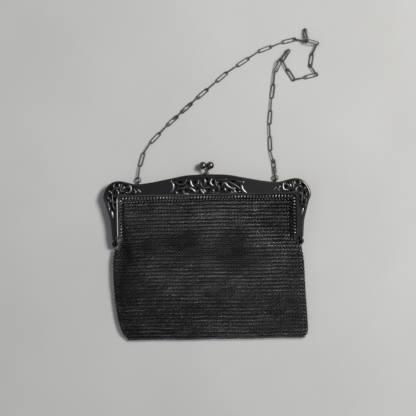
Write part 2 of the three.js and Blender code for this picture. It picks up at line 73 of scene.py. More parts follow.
def deselect_all() -> None:
    """Clear the selection, in object mode."""
    if bpy.context.object is not None and bpy.context.object.mode != "OBJECT":
        bpy.ops.object.mode_set(mode="OBJECT")
    bpy.ops.object.select_all(action="DESELECT")


def select_only(piece: bpy.types.Object) -> None:
    """Select one piece and make it active.

    Args:
        piece: The object to select.
    """
    deselect_all()
    piece.select_set(True)
    bpy.context.view_layer.objects.active = piece


def settled(piece: bpy.types.Object, crease_degrees: float = 40.0) -> bpy.types.Object:
    """Put a piece's place into its mesh, close its seams and shade it.

    Args:
        piece: A mesh object.
        crease_degrees: Edges sharper than this stay creased.

    Returns:
        The same object, at the origin.
    """
    select_only(piece)
    bpy.ops.object.transform_apply(location=True, rotation=True, scale=True)
    bpy.ops.object.mode_set(mode="EDIT")
    bpy.ops.mesh.select_all(action="SELECT")
    bpy.ops.mesh.remove_doubles(threshold=2e-6)
    bpy.ops.mesh.normals_make_consistent(inside=False)
    bpy.ops.object.mode_set(mode="OBJECT")
    bpy.ops.object.shade_smooth_by_angle(angle=math.radians(crease_degrees))
    return piece


def rounded(piece: bpy.types.Object, width: float, segments: int) -> bpy.types.Object:
    """Put a piece's place into its mesh and round its edges.

    Args:
        piece: A mesh object.
        width: Width of the rounding.
        segments: How many steps the rounding has.

    Returns:
        The same object, at the origin.
    """
    select_only(piece)
    bpy.ops.object.transform_apply(location=True, rotation=True, scale=True)
    bevel = piece.modifiers.new("edge", "BEVEL")
    bevel.width = width * MM
    bevel.segments = segments
    bpy.ops.object.modifier_apply(modifier=bevel.name)
    return settled(piece)


def joined(name: str, pieces: Sequence[bpy.types.Object]) -> bpy.types.Object:
    """Join meshes into one object.

    Args:
        name: The joined object's name.
        pieces: Mesh objects.

    Returns:
        The joined object.
    """
    deselect_all()
    for piece in pieces:
        piece.select_set(True)
    bpy.context.view_layer.objects.active = pieces[0]
    if len(pieces) > 1:
        bpy.ops.object.join()
    whole = bpy.context.view_layer.objects.active
    whole.name = name
    whole.data.name = name
    return whole


def mesh_object(name: str, points: np.ndarray, faces: np.ndarray) -> bpy.types.Object:
    """Make a smooth mesh object from points and faces.

    Args:
        name: The object's name.
        points: Points in millimetres, one row each.
        faces: Corner numbers, one face a row.

    Returns:
        The new object.
    """
    mesh = bpy.data.meshes.new(name)
    mesh.from_pydata((points * MM).tolist(), [], faces.tolist())
    mesh.polygons.foreach_set("use_smooth", np.ones(len(mesh.polygons), dtype=bool))
    mesh.update()
    piece = bpy.data.objects.new(name, mesh)
    bpy.context.scene.collection.objects.link(piece)
    return piece


def points_of(piece: bpy.types.Object) -> np.ndarray:
    """Read a mesh's points.

    Args:
        piece: A mesh object.

    Returns:
        Its points in millimetres, one row each.
    """
    flat = np.empty(len(piece.data.vertices) * 3)
    piece.data.vertices.foreach_get("co", flat)
    return flat.reshape(-1, 3) / MM


def set_points(piece: bpy.types.Object, points: np.ndarray) -> None:
    """Move a mesh's points.

    Args:
        piece: A mesh object.
        points: The new places in millimetres, one row each.
    """
    piece.data.vertices.foreach_set("co", (points * MM).ravel())
    piece.data.update()


def mark_wear_and_shade(piece: bpy.types.Object, wear: np.ndarray) -> None:
    """Store how bright each point of a piece is: rubbed bright on high spots, and on some pieces
    painted light and shade.

    Args:
        piece: A mesh object.
        wear: One value for each point, from 0 in a hollow to 1 on a high spot, with painted light
            and shade where a piece has them.
    """
    old = piece.data.attributes.get(WEAR_AND_SHADE)
    if old is not None:
        piece.data.attributes.remove(old)
    attribute = piece.data.attributes.new(WEAR_AND_SHADE, "FLOAT", "POINT")
    attribute.data.foreach_set("value", np.clip(wear, 0, 1).astype(np.float32))


def curve_mesh(
    name: str, curve: bpy.types.Curve, level: float = 0.0, crease_degrees: float = 40.0
) -> bpy.types.Object:
    """Turn a curve into a mesh object.

    Args:
        name: The object's name.
        curve: The curve to convert.
        level: Height that the curve's own plane is raised to.
        crease_degrees: Edges sharper than this stay creased.

    Returns:
        The mesh object, with its place in its mesh.
    """
    piece = bpy.data.objects.new(name, curve)
    bpy.context.scene.collection.objects.link(piece)
    piece.location.z = level * MM
    select_only(piece)
    bpy.ops.object.convert(target="MESH")
    return settled(bpy.context.view_layer.objects.active, crease_degrees)


def turning(outline: Sequence[Point]) -> float:
    """Give twice the signed area inside an outline, above 0 when it runs anticlockwise."""
    following = [*outline[1:], outline[0]]
    return sum(a[0] * b[1] - b[0] * a[1] for a, b in zip(outline, following))


def cut_plate(
    name: str, outlines: Sequence[Sequence[Point]], bottom: float, top: float, edge: float
) -> bpy.types.Object:
    """Make a flat plate with rounded edges and with windows cut through.

    Args:
        name: The object's name.
        outlines: The plate's outline, then the outline of each window.
        bottom: Height of the plate's underside.
        top: Height of its face.
        edge: Radius of its rounded edges.

    Returns:
        The plate.
    """
    curve = bpy.data.curves.new(name, "CURVE")
    curve.dimensions = "2D"
    curve.fill_mode = "BOTH"
    curve.extrude = ((top - bottom) / 2 - edge) * MM
    curve.bevel_depth = edge * MM
    curve.bevel_resolution = 1
    curve.offset = -edge * MM
    for place, outline in enumerate(outlines):
        ordered = list(outline)
        if (turning(ordered) > 0) != (place == 0):
            ordered.reverse()
        spline = curve.splines.new("POLY")
        spline.points.add(len(ordered) - 1)
        for knot, (x, y) in zip(spline.points, ordered):
            knot.co = (x * MM, y * MM, 0, 1)
        spline.use_cyclic_u = True
    return curve_mesh(name, curve, (bottom + top) / 2, PLATE_CREASE)


def bars(
    name: str,
    lines: Sequence[Sequence[Sequence[float]]],
    radius: float,
    sides: int,
) -> bpy.types.Object:
    """Sweep a round section along open lines.

    Args:
        name: The object's name.
        lines: Lines of points, each x, y, z and a share of the radius.
        radius: The section's radius.
        sides: How many sides the section has, an even number.

    Returns:
        All the bars as one mesh.
    """
    curve = bpy.data.curves.new(name, "CURVE")
    curve.dimensions = "3D"
    curve.fill_mode = "FULL"
    curve.bevel_depth = radius * MM
    curve.bevel_resolution = sides // 2 - 2
    curve.use_fill_caps = True
    for line in lines:
        spline = curve.splines.new("POLY")
        spline.points.add(len(line) - 1)
        for knot, (x, y, z, share) in zip(spline.points, line):
            knot.co = (x * MM, y * MM, z * MM, 1)
            knot.radius = share
    return curve_mesh(name, curve)


def spline_through(knots: Sequence[Point], steps: int) -> list[Point]:
    """Draw a smooth line through knots.

    Args:
        knots: The points to pass through.
        steps: How many points each span gets.

    Returns:
        The line's points.
    """
    given = [knots[0], *knots, knots[-1]]
    line: list[Point] = []
    for span in range(len(knots) - 1):
        before, start, end, after = given[span : span + 4]
        for step in range(steps):
            t = step / steps
            line.append(
                tuple(
                    start[k]
                    + 0.5 * t * (end[k] - before[k])
                    + t * t * (before[k] - 2.5 * start[k] + 2 * end[k] - 0.5 * after[k])
                    + 0.5 * t**3 * (3 * (start[k] - end[k]) + after[k] - before[k])
                    for k in (0, 1)
                )
            )
    return [*line, tuple(knots[-1])]


def arc_points(
    centre: Point, radius: float, start: float, end: float, steps: int
) -> list[Point]:
    """Give points along an arc.

    Args:
        centre: The arc's centre.
        radius: Its radius.
        start: The angle of its first point, in degrees.
        end: The angle of its last point.
        steps: How many steps it has.

    Returns:
        The arc's points.
    """
    angles = (math.radians(start + (end - start) * k / steps) for k in range(steps + 1))
    return [(centre[0] + radius * math.cos(a), centre[1] + radius * math.sin(a)) for a in angles]


def mirrored(line: Sequence[Point]) -> list[Point]:
    """Give a line's mirror image across the purse's middle, running the other way."""
    return [(-x, y) for x, y in reversed(line)]


def shifted(line: Sequence[Point], distance: float) -> list[Point]:
    """Shift an open line to its left.

    Args:
        line: The line's points.
        distance: How far it moves, below 0 to its right.

    Returns:
        The shifted points.
    """
    ends = [line[0], *line, line[-1]]
    moved = []
    for before, here, after in zip(ends, line, ends[2:]):
        run = Vector(after) - Vector(before)
        run.normalize()
        moved.append((here[0] - run.y * distance, here[1] + run.x * distance))
    return moved


def patches(
    x: np.ndarray, y: np.ndarray, wide: float, tall: float, rng: np.random.Generator
) -> np.ndarray:
    """Give soft random patches, about -1 to 1.

    Args:
        x: Places across.
        y: Places up.
        wide: Width of a patch.
        tall: Height of a patch.
        rng: The source of chance.

    Returns:
        The value at each place.
    """
    table = rng.uniform(-1, 1, (64, 64))
    columns, rows = x / wide + 32, y / tall + 32
    left, low = np.floor(columns).astype(int), np.floor(rows).astype(int)
    s, t = columns - left, rows - low
    s, t = s * s * (3 - 2 * s), t * t * (3 - 2 * t)
    near = table[low, left] * (1 - s) + table[low, left + 1] * s
    far = table[low + 1, left] * (1 - s) + table[low + 1, left + 1] * s
    return near * (1 - t) + far * t


@dataclass(frozen=True)
class MetalFinish:
    """A tarnished metal, dark in its hollows and rubbed bright on its high spots.

    Attributes:
        name: The material's name.
        slot: A material slot's name; not used.
        hollow: Colour of the oxide in hollows.
        body: Colour between hollows and high spots.
        bright: Colour of rubbed high spots.
        roughness: Roughness of rubbed metal and of oxide.
        wear_share: How much the stored wear, with the painted light and shade stored with it,
            decides the colour, against the clouds of tarnish.
        cloud_size: Width of the clouds of tarnish.
        grain_size: Width of the fine grain.
        scratch_depth: Depth of fine scratches.
        pit_depth: Depth of the grain's pits.
    """

    name: str
    slot: str
    hollow: Colour
    body: Colour
    bright: Colour
    roughness: tuple[float, float]
    wear_share: float = 0.7
    cloud_size: float = 14.0
    grain_size: float = 0.5
    scratch_depth: float = 0.012
    pit_depth: float = 0.02

    def material(self) -> bpy.types.Material:
        """Build the finish as a node material, once.

        Returns:
            The material.
        """
        found = bpy.data.materials.get(self.name)
        if found is not None:
            return found
        sheet = NodeSheet(self.name)
        place = sheet.add("ShaderNodeTexCoord").outputs["Object"]
        cloud = sheet.noise(place, 1 / (self.cloud_size * MM), 4)
        grain = sheet.noise(place, 1 / (self.grain_size * MM), 3)
        lines = sheet.noise(sheet.stretched(place, (180, 5200, 5200), 27), 1, 2)
        cross = sheet.noise(sheet.stretched(place, (5200, 160, 5200), -14), 1, 2)
        # The stored value holds wear, and on some pieces painted light and shade.
        wear = sheet.add("ShaderNodeAttribute", attribute_name=WEAR_AND_SHADE).outputs["Fac"]
        cloud_share = 1 - self.wear_share
        soiled = sheet.math("MULTIPLY_ADD", cloud, cloud_share, -0.5 * cloud_share)
        grained = sheet.math("MULTIPLY_ADD", grain, 0.16, -0.08)
        tone = sheet.math("MULTIPLY_ADD", wear, self.wear_share, soiled)
        tone = sheet.math("ADD", tone, grained)
        tone = sheet.math("ADD", tone, cloud_share / 2)
        ramp = sheet.ramp(tone, [(0.12, self.hollow), (0.5, self.body), (0.86, self.bright)])
        sheet.link(ramp, sheet.shader.inputs["Base Color"])
        rough = sheet.add("ShaderNodeMapRange")
        sheet.link(tone, rough.inputs["Value"])
        rough.inputs["From Min"].default_value = 0.15
        rough.inputs["From Max"].default_value = 0.85
        rough.inputs["To Min"].default_value = self.roughness[1]
        rough.inputs["To Max"].default_value = self.roughness[0]
        sheet.link(rough.outputs["Result"], sheet.shader.inputs["Roughness"])
        marks = sheet.math("MAXIMUM", lines, cross)
        height = sheet.math("MULTIPLY_ADD", marks, self.scratch_depth, 0.0)
        height = sheet.math("MULTIPLY_ADD", grain, self.pit_depth, height)
        bump = sheet.add("ShaderNodeBump")
        bump.inputs["Distance"].default_value = MM
        bump.inputs["Strength"].default_value = 1.0
        sheet.link(height, bump.inputs["Height"])
        sheet.link(bump.outputs["Normal"], sheet.shader.inputs["Normal"])
        sheet.shader.inputs["Metallic"].default_value = 1.0
        return sheet.material

    def dress(self, piece: bpy.types.Object, *nodes: str) -> bpy.types.Object:
        """Give a piece this finish, and let it ride and stand for its nodes.

        Args:
            piece: A finished piece.
            *nodes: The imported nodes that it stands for.

        Returns:
            The piece.
        """
        piece.data.materials.clear()
        piece.data.materials.append(self.material())
        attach(piece, "root")
        if nodes:
            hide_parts(*nodes)
        return piece


class NodeSheet:
    """The node tree of one material, with short ways to add to it."""

    def __init__(self, name: str) -> None:
        """Start a material with an empty shader.

        Args:
            name: The material's name.
        """
        self.material = bpy.data.materials.new(name)
        self.material.use_nodes = True
        self.tree = self.material.node_tree
        self.shader = self.tree.nodes["Principled BSDF"]

    def add(self, kind: str, **settings: object) -> bpy.types.Node:
        """Add a node.

        Args:
            kind: The node's type.
            **settings: Its settings by name.

        Returns:
            The node.
        """
        node = self.tree.nodes.new(kind)
        for key, value in settings.items():
            setattr(node, key, value)
        return node

    def link(self, source: bpy.types.NodeSocket, target: bpy.types.NodeSocket) -> None:
        """Join an output to an input."""
        self.tree.links.new(source, target)

    def noise(
        self, place: bpy.types.NodeSocket, scale: float, detail: float
    ) -> bpy.types.NodeSocket:
        """Add a noise pattern.

        Args:
            place: Where the pattern is read.
            scale: Its scale.
            detail: How many finer layers it has.

        Returns:
            The pattern's value.
        """
        node = self.add("ShaderNodeTexNoise")
        node.inputs["Scale"].default_value = scale
        node.inputs["Detail"].default_value = detail
        self.link(place, node.inputs["Vector"])
        return node.outputs["Fac"]

    def stretched(
        self, place: bpy.types.NodeSocket, scale: Colour, degrees: float
    ) -> bpy.types.NodeSocket:
        """Turn and stretch a place, as for scratches that run one way.

        Args:
            place: Where the pattern is read.
            scale: The scale along each axis.
            degrees: The turn about Z.

        Returns:
            The changed place.
        """
        node = self.add("ShaderNodeMapping")
        node.inputs["Rotation"].default_value[2] = math.radians(degrees)
        node.inputs["Scale"].default_value = scale
        self.link(place, node.inputs["Vector"])
        return node.outputs["Vector"]

    def math(
        self, operation: str, *values: "bpy.types.NodeSocket | float"
    ) -> bpy.types.NodeSocket:
        """Add a sum.

        Args:
            operation: The operation's name.
            *values: Its inputs, each an output to link or a number.

        Returns:
            The result.
        """
        node = self.add("ShaderNodeMath", operation=operation)
        for socket, value in zip(node.inputs, values):
            if isinstance(value, bpy.types.NodeSocket):
                self.link(value, socket)
            else:
                socket.default_value = value
        return node.outputs["Value"]

    def ramp(
        self, tone: bpy.types.NodeSocket, stops: Sequence[tuple[float, Colour]]
    ) -> bpy.types.NodeSocket:
        """Turn a value into a colour.

        Args:
            tone: The value.
            stops: Places along the ramp and their colours.

        Returns:
            The colour.
        """
        node = self.add("ShaderNodeValToRGB")
        elements = node.color_ramp.elements
        for place, (position, colour) in enumerate(stops):
            element = elements[place] if place < 2 else elements.new(position)
            element.position = position
            element.color = (*colour, 1.0)
        self.link(tone, node.inputs["Fac"])
        return node.outputs["Color"]


FRAME_METAL = MetalFinish(
    "tarnished_nickel_silver",
    "frame_silver",
    hollow=(0.01, 0.01, 0.0105),
    body=(0.045, 0.045, 0.047),
    bright=(0.34, 0.335, 0.32),
    roughness=(0.34, 0.44),
    wear_share=0.86,
)
CLASP_METAL = MetalFinish(
    "rubbed_nickel_silver",
    "clasp_silver",
    hollow=(0.02, 0.019, 0.018),
    body=(0.1, 0.098, 0.092),
    bright=(0.5, 0.475, 0.43),
    roughness=(0.22, 0.4),
    wear_share=0.5,
)
WIRE_METAL = MetalFinish(
    "tarnished_wire",
    "wire_silver",
    hollow=(0.02, 0.02, 0.0195),
    body=(0.13, 0.128, 0.123),
    bright=(0.56, 0.55, 0.53),
    roughness=(0.4, 0.52),
    wear_share=0.6,
    grain_size=0.3,
)
LACING_METAL = replace(
    WIRE_METAL,
    name="worn_lacing",
    hollow=(0.004, 0.004, 0.004),
    body=(0.03, 0.0295, 0.0285),
    bright=(0.36, 0.355, 0.34),
    roughness=(0.4, 0.5),
    wear_share=0.92,
)
MAIL_METAL = MetalFinish(
    "oxidised_ring_mail",
    "mesh_silver",
    hollow=(0.006, 0.006, 0.006),
    body=(0.036, 0.036, 0.0355),
    bright=(0.23, 0.227, 0.22),
    roughness=(0.3, 0.5),
    wear_share=0.8,
    cloud_size=20,
    grain_size=0.3,
)


@dataclass(frozen=True)
class Outline:
    """The frame's outline and the shape of its windows.

    Attributes:
        half_width: Half of the frame's width over its shoulders.
        foot_width: Width of a leg's end.
        bar_height: Height of the bar at its middle.
        bar_bottom: The bar's inner edge above the hinges.
        leg_end: The legs' ends above the hinges.
        inner_corner: Radius of the opening's upper corners.
        foot_corner: Radius of the legs' inner lower corners.
        steps: How many points each span of the outline gets.
        crest: The upper edge, across as a share of the half width and rise as a share of the
            bar's height.
        flank: The outer edge of the shoulder and leg, across as before and fall as a share of
            the leg's length.
    """

    half_width: float = 80.0
    foot_width: float = 4.9
    bar_height: float = 16.3
    bar_bottom: float = 36.4
    leg_end: float = 3.4
    inner_corner: float = 2.5
    foot_corner: float = 2.6
    steps: int = 6
    crest: tuple[Point, ...] = (
        (0, 1),
        (0.2, 0.955),
        (0.366, 0.804),
        (0.55, 0.64),
        (0.684, 0.583),
        (0.756, 0.656),
        (0.844, 0.742),
        (0.916, 0.669),
        (0.964, 0.454),
        (0.991, 0.2),
    )
    flank: tuple[Point, ...] = (
        (1, 0.03),
        (0.982, 0.148),
        (0.964, 0.3),
        (0.947, 0.453),
        (0.932, 0.607),
        (0.926, 0.761),
        (0.92, 1),
    )

    @property
    def inner_half(self) -> float:
        """Half of the opening's width."""
        return self.flank[-1][0] * self.half_width - self.foot_width

    @property
    def bar_top(self) -> float:
        """Height of the bar's top above the hinges."""
        return self.bar_bottom + self.bar_height

    def outer(self) -> list[Point]:
        """Draw the outer edge.

        Returns:
            Its points, from the left leg's end over the bar to the right one's.
        """
        leg = self.bar_bottom - self.leg_end
        knots = [
            (across * self.half_width, self.bar_bottom + rise * self.bar_height)
            for across, rise in self.crest
        ]
        knots += [
            (across * self.half_width, self.bar_bottom - fall * leg)
            for across, fall in self.flank
        ]
        right = spline_through(knots, self.steps)
        return mirrored(right)[:-1] + right

    def inner(self) -> list[Point]:
        """Draw the inner edge.

        Returns:
            Its points, from the left leg's end under the bar to the right one's.
        """
        corner = (self.inner_half - self.inner_corner, self.bar_bottom - self.inner_corner)
        foot = (self.inner_half + self.foot_corner, self.leg_end + self.foot_corner)
        right = arc_points(corner, self.inner_corner, 90, 0, 6)
        right += arc_points(foot, self.foot_corner, 180, 270, 6)
        return mirrored(right) + right

    def plate(self) -> list[Point]:
        """Give the closed outline of one frame half."""
        return self.outer() + list(reversed(self.inner()))

    def height_at(self, across: float) -> float:
        """Read the upper edge's height.

        Args:
            across: The place across, right of the middle.

        Returns:
            The height above the hinges.
        """
        line = [point for point in self.outer() if point[0] >= 0 and point[1] > self.bar_bottom]
        xs = [point[0] for point in line[: len(self.crest) * self.steps]]
        ys = [point[1] for point in line[: len(self.crest) * self.steps]]
        return float(np.interp(across, xs, ys))


@dataclass(frozen=True)
class Stroke:
    """One leaf or tendril of the pierced work, pointed at both ends.

    Attributes:
        knots: Points that it passes through.
        width: Its width at its middle.
    """

    knots: tuple[Point, ...]
    width: float = 1.7

    def line(self, level: float, mirror: int = 1) -> list[tuple[float, float, float, float]]:
        """Give the stroke's line with a thickness that swells between its ends.

        Args:
            level: Its height.
            mirror: -1 for its mirror image across the purse's middle.

        Returns:
            Points with their height and half their width.
        """
        path = spline_through(self.knots, 5)
        last = len(path) - 1
        swell = [0.14 + 0.86 * abs(math.sin(math.pi * k / last)) ** 0.6 for k in range(last + 1)]
        return [
            (x * mirror, y, level, self.width / 2 * share) for (x, y), share in zip(path, swell)
        ]


@dataclass(frozen=True)
class Hole:
    """One hole of the pierced work, an oval.

    Attributes:
        x: Its centre across.
        y: Its centre above the hinges.
        long: Half of its length.
        wide: Half of its width.
        degrees: The turn of its length.
    """

    x: float
    y: float
    long: float
    wide: float
    degrees: float = 0.0

    def outline(self, mirror: int = 1) -> list[Point]:
        """Draw the hole's outline.

        Args:
            mirror: -1 for its mirror image across the purse's middle.

        Returns:
            The outline's points.
        """
        turn = math.radians(self.degrees)
        corners = [(self.long * x, self.wide * y) for x, y in arc_points((0, 0), 1, 0, 337.5, 15)]
        return [
            (
                mirror * (self.x + a * math.cos(turn) - b * math.sin(turn)),
                self.y + a * math.sin(turn) + b * math.cos(turn),
            )
            for a, b in corners
        ]


# The panel's pierced work, then a shoulder's, which is the same on both sides.
PANEL_STROKES = (
    Stroke(((-27.6, 47.5), (-26.1, 45.5), (-25.9, 42.9), (-26.8, 40.2), (-28.5, 38.9)), 1.9),
    Stroke(((26.8, 44.8), (27.2, 41.5), (28.8, 39.0), (31.2, 37.4)), 1.8),
    Stroke(((-12.6, 48.8), (-12.4, 46.2), (-11.3, 43.9), (-10.0, 43.7)), 1.7),
    Stroke(((-13.8, 43.1), (-11.3, 41.3), (-8.4, 38.9)), 1.8),
    Stroke(((-2.4, 49.6), (-1.1, 47.1), (-2.2, 44.5)), 1.6),
    Stroke(((4.2, 49.3), (2.7, 46.8), (3.3, 44.8), (5.1, 43.6)), 1.7),
    Stroke(((-5.3, 41.8), (-3.7, 39.2), (-2.0, 37.6)), 1.5),
    Stroke(((-3.4, 41.6), (-2.0, 40.0), (-0.9, 38.5)), 1.3),
    Stroke(
        ((11.8, 43.8), (13.1, 45.9), (14.2, 45.5), (16.2, 43.2), (18.4, 41.9), (21.8, 41.1)), 1.7
    ),
    Stroke(((20.0, 41.0), (22.6, 37.9)), 1.2),
    Stroke(((13.3, 42.2), (14.7, 39.2)), 1.4),
    Stroke(((4.9, 41.2), (4.9, 38.4)), 1.6),
    Stroke(((-24.4, 40.0), (-22.7, 37.8)), 1.4),
    Stroke(((-18.6, 39.4), (-16.8, 37.9), (-13.9, 37.7)), 1.5),
)
PANEL_TENDRILS = (
    Stroke(((-24.7, 47.4), (-21.0, 44.9), (-17.4, 45.9), (-15.4, 49.0)), 1.6),
    Stroke(((-23.0, 41.4), (-20.4, 42.3), (-17.8, 42.2), (-15.2, 43.8)), 1.6),
    Stroke(((-10.2, 43.8), (-8.0, 44.2), (-6.4, 46.4), (-7.2, 49.0)), 1.5),
    Stroke(((-5.0, 47.0), (-4.2, 43.6), (-1.6, 42.4), (2.0, 42.6)), 1.5),
    Stroke(((-19.0, 41.0), (-17.6, 38.6)), 1.4),
    Stroke(((6.4, 48.8), (7.2, 44.2), (9.0, 42.8), (9.4, 39.0)), 1.6),
    Stroke(((14.4, 48.0), (18.6, 45.6), (22.6, 43.4), (26.0, 40.6)), 1.7),
    Stroke(((8.2, 49.0), (12.6, 48.2), (15.6, 49.0)), 1.4),
    Stroke(((15.0, 38.2), (18.6, 37.9), (23.6, 38.6)), 1.3),
    Stroke(((-12.2, 38.0), (-9.0, 38.2), (-6.6, 40.4)), 1.4),
    Stroke(((0.2, 38.2), (2.6, 38.6), (6.0, 37.9), (9.4, 38.3)), 1.3),
    Stroke(((22.4, 48.2), (24.6, 46.4), (26.6, 46.6)), 1.3),
)
PANEL_HOLES = (
    Hole(-20.6, 46.9, 2.2, 0.75),
    Hole(-19.4, 43.8, 1.9, 0.65, 8),
    Hole(-16.1, 40.7, 1.4, 0.9, -45),
    Hole(-14.6, 46.2, 1.3, 0.75, 80),
    Hole(-9.2, 46.7, 1.5, 0.8, 80),
    Hole(-7.3, 42.2, 1.2, 0.7, -45),
    Hole(-0.1, 48.6, 1.3, 0.8),
    Hole(0.8, 45.0, 1.5, 0.8, 90),
    Hole(4.9, 46.3, 1.3, 0.8, 90),
    Hole(1.6, 40.8, 1.1, 0.8),
    Hole(-6.0, 39.4, 0.9, 0.5, -50),
    Hole(10.4, 45.3, 1.4, 0.8, 90),
    Hole(20.3, 46.8, 2.0, 0.7, -8),
    Hole(17.6, 44.6, 1.6, 0.55, -35),
    Hole(22.9, 40.3, 1.2, 0.85),
    Hole(7.2, 40.2, 0.9, 0.7, 90),
    Hole(11.4, 40.8, 1.3, 0.8, 90),
    Hole(16.8, 40.0, 1.0, 0.9),
    Hole(23.9, 44.0, 1.4, 0.6, 90),
    Hole(-23.8, 44.0, 1.5, 0.6, 90),
    Hole(-12.6, 39.8, 1.1, 0.6, -30),
    Hole(-20.8, 40.1, 1.3, 0.7),
)
SHOULDER_STROKES = (
    Stroke(((59.0, 45.4), (58.6, 42.4), (59.4, 40.0), (61.8, 39.6)), 1.6),
    Stroke(((63.4, 44.6), (65.5, 41.3)), 1.7),
    Stroke(((67.4, 46.6), (67.9, 43.0)), 1.3),
    Stroke(((74.0, 25.9), (73.3, 22.9), (72.8, 19.6)), 2.0),
    Stroke(((76.0, 28.4), (75.4, 25.4)), 1.0),
    Stroke(((68.7, 41.2), (68.3, 37.8)), 1.5),
    Stroke(((49.6, 39.0), (52.2, 40.6), (54.4, 43.4)), 1.3),
    Stroke(((53.0, 39.0), (55.0, 40.4), (56.6, 42.8)), 1.2),
)
SHOULDER_TENDRILS = (
    Stroke(((70.0, 31.9), (72.7, 32.7), (75.3, 34.6), (77.4, 37.8)), 1.5),
    Stroke(((73.0, 38.5), (73.2, 35.4), (72.9, 32.6), (72.8, 29.4), (71.0, 27.0)), 1.4),
    Stroke(((76.9, 33.4), (75.9, 29.4), (74.7, 25.8)), 1.3),
    Stroke(((69.6, 37.4), (71.5, 37.0), (73.4, 36.2)), 1.4),
    Stroke(((73.0, 38.0), (74.4, 40.3), (77.0, 41.4)), 1.5),
    Stroke(((68.6, 43.2), (71.4, 42.6), (73.2, 40.8)), 1.5),
    Stroke(((71.0, 47.0), (71.9, 44.4), (71.6, 42.4)), 1.3),
    Stroke(((60.4, 46.4), (60.0, 43.8), (62.6, 43.6), (63.6, 40.8)), 1.4),
    Stroke(((65.6, 46.6), (66.4, 43.6), (66.6, 40.6), (64.0, 40.4)), 1.5),
    Stroke(((63.0, 38.0), (66.4, 38.0), (69.8, 38.4)), 1.2),
)
SHOULDER_HOLES = (
    Hole(62.9, 45.0, 0.9, 0.45, 15),
    Hole(60.9, 42.0, 1.1, 0.8, 80),
    Hole(65.1, 39.2, 1.1, 0.6),
    Hole(69.5, 45.6, 1.1, 0.6, -20),
    Hole(74.0, 43.1, 1.4, 0.75, -45),
    Hole(75.0, 37.4, 1.3, 0.75, 85),
    Hole(71.4, 34.5, 1.3, 0.65, 90),
    Hole(71.4, 30.2, 1.2, 0.6, 90),
    Hole(74.3, 30.2, 1.4, 0.65, 75),
    Hole(71.4, 39.8, 0.85, 0.7),
    Hole(73.2, 26.7, 1.0, 0.55, 80),
)

# Domed beads of the pierced work: across, up and radius.
PANEL_BEADS = (
    (-6.8, 45.8, 1.0),
    (7.8, 46.0, 0.9),
    (19.0, 38.6, 0.9),
    (25.0, 38.9, 0.9),
    (28.0, 46.1, 1.2),
    (-27.6, 47.6, 0.9),
    (21.4, 41.2, 0.9),
    (8.9, 42.9, 0.7),
)
SHOULDER_BEADS = (
    (62.1, 39.5, 0.95),
    (71.9, 44.5, 0.9),
    (69.3, 41.2, 0.9),
    (75.3, 40.7, 0.85),
    (76.3, 35.3, 0.85),
    (73.1, 36.5, 0.8),
    (55.3, 39.5, 0.7),
    (74.7, 33.0, 0.7),
)


# How bright the frame's parts are rubbed, apart from its ears and beads and from the painted
# highlights on the left leg's inner rim and the right shoulder's outer rim.
PLAIN_WEAR = {
    "plate": 0.32,
    "rim_out": 0.5,
    "rim_in": 0.5,
    "ground": 0.24,
    "tendrils": 0.56,
    "leaves": 0.8,
}


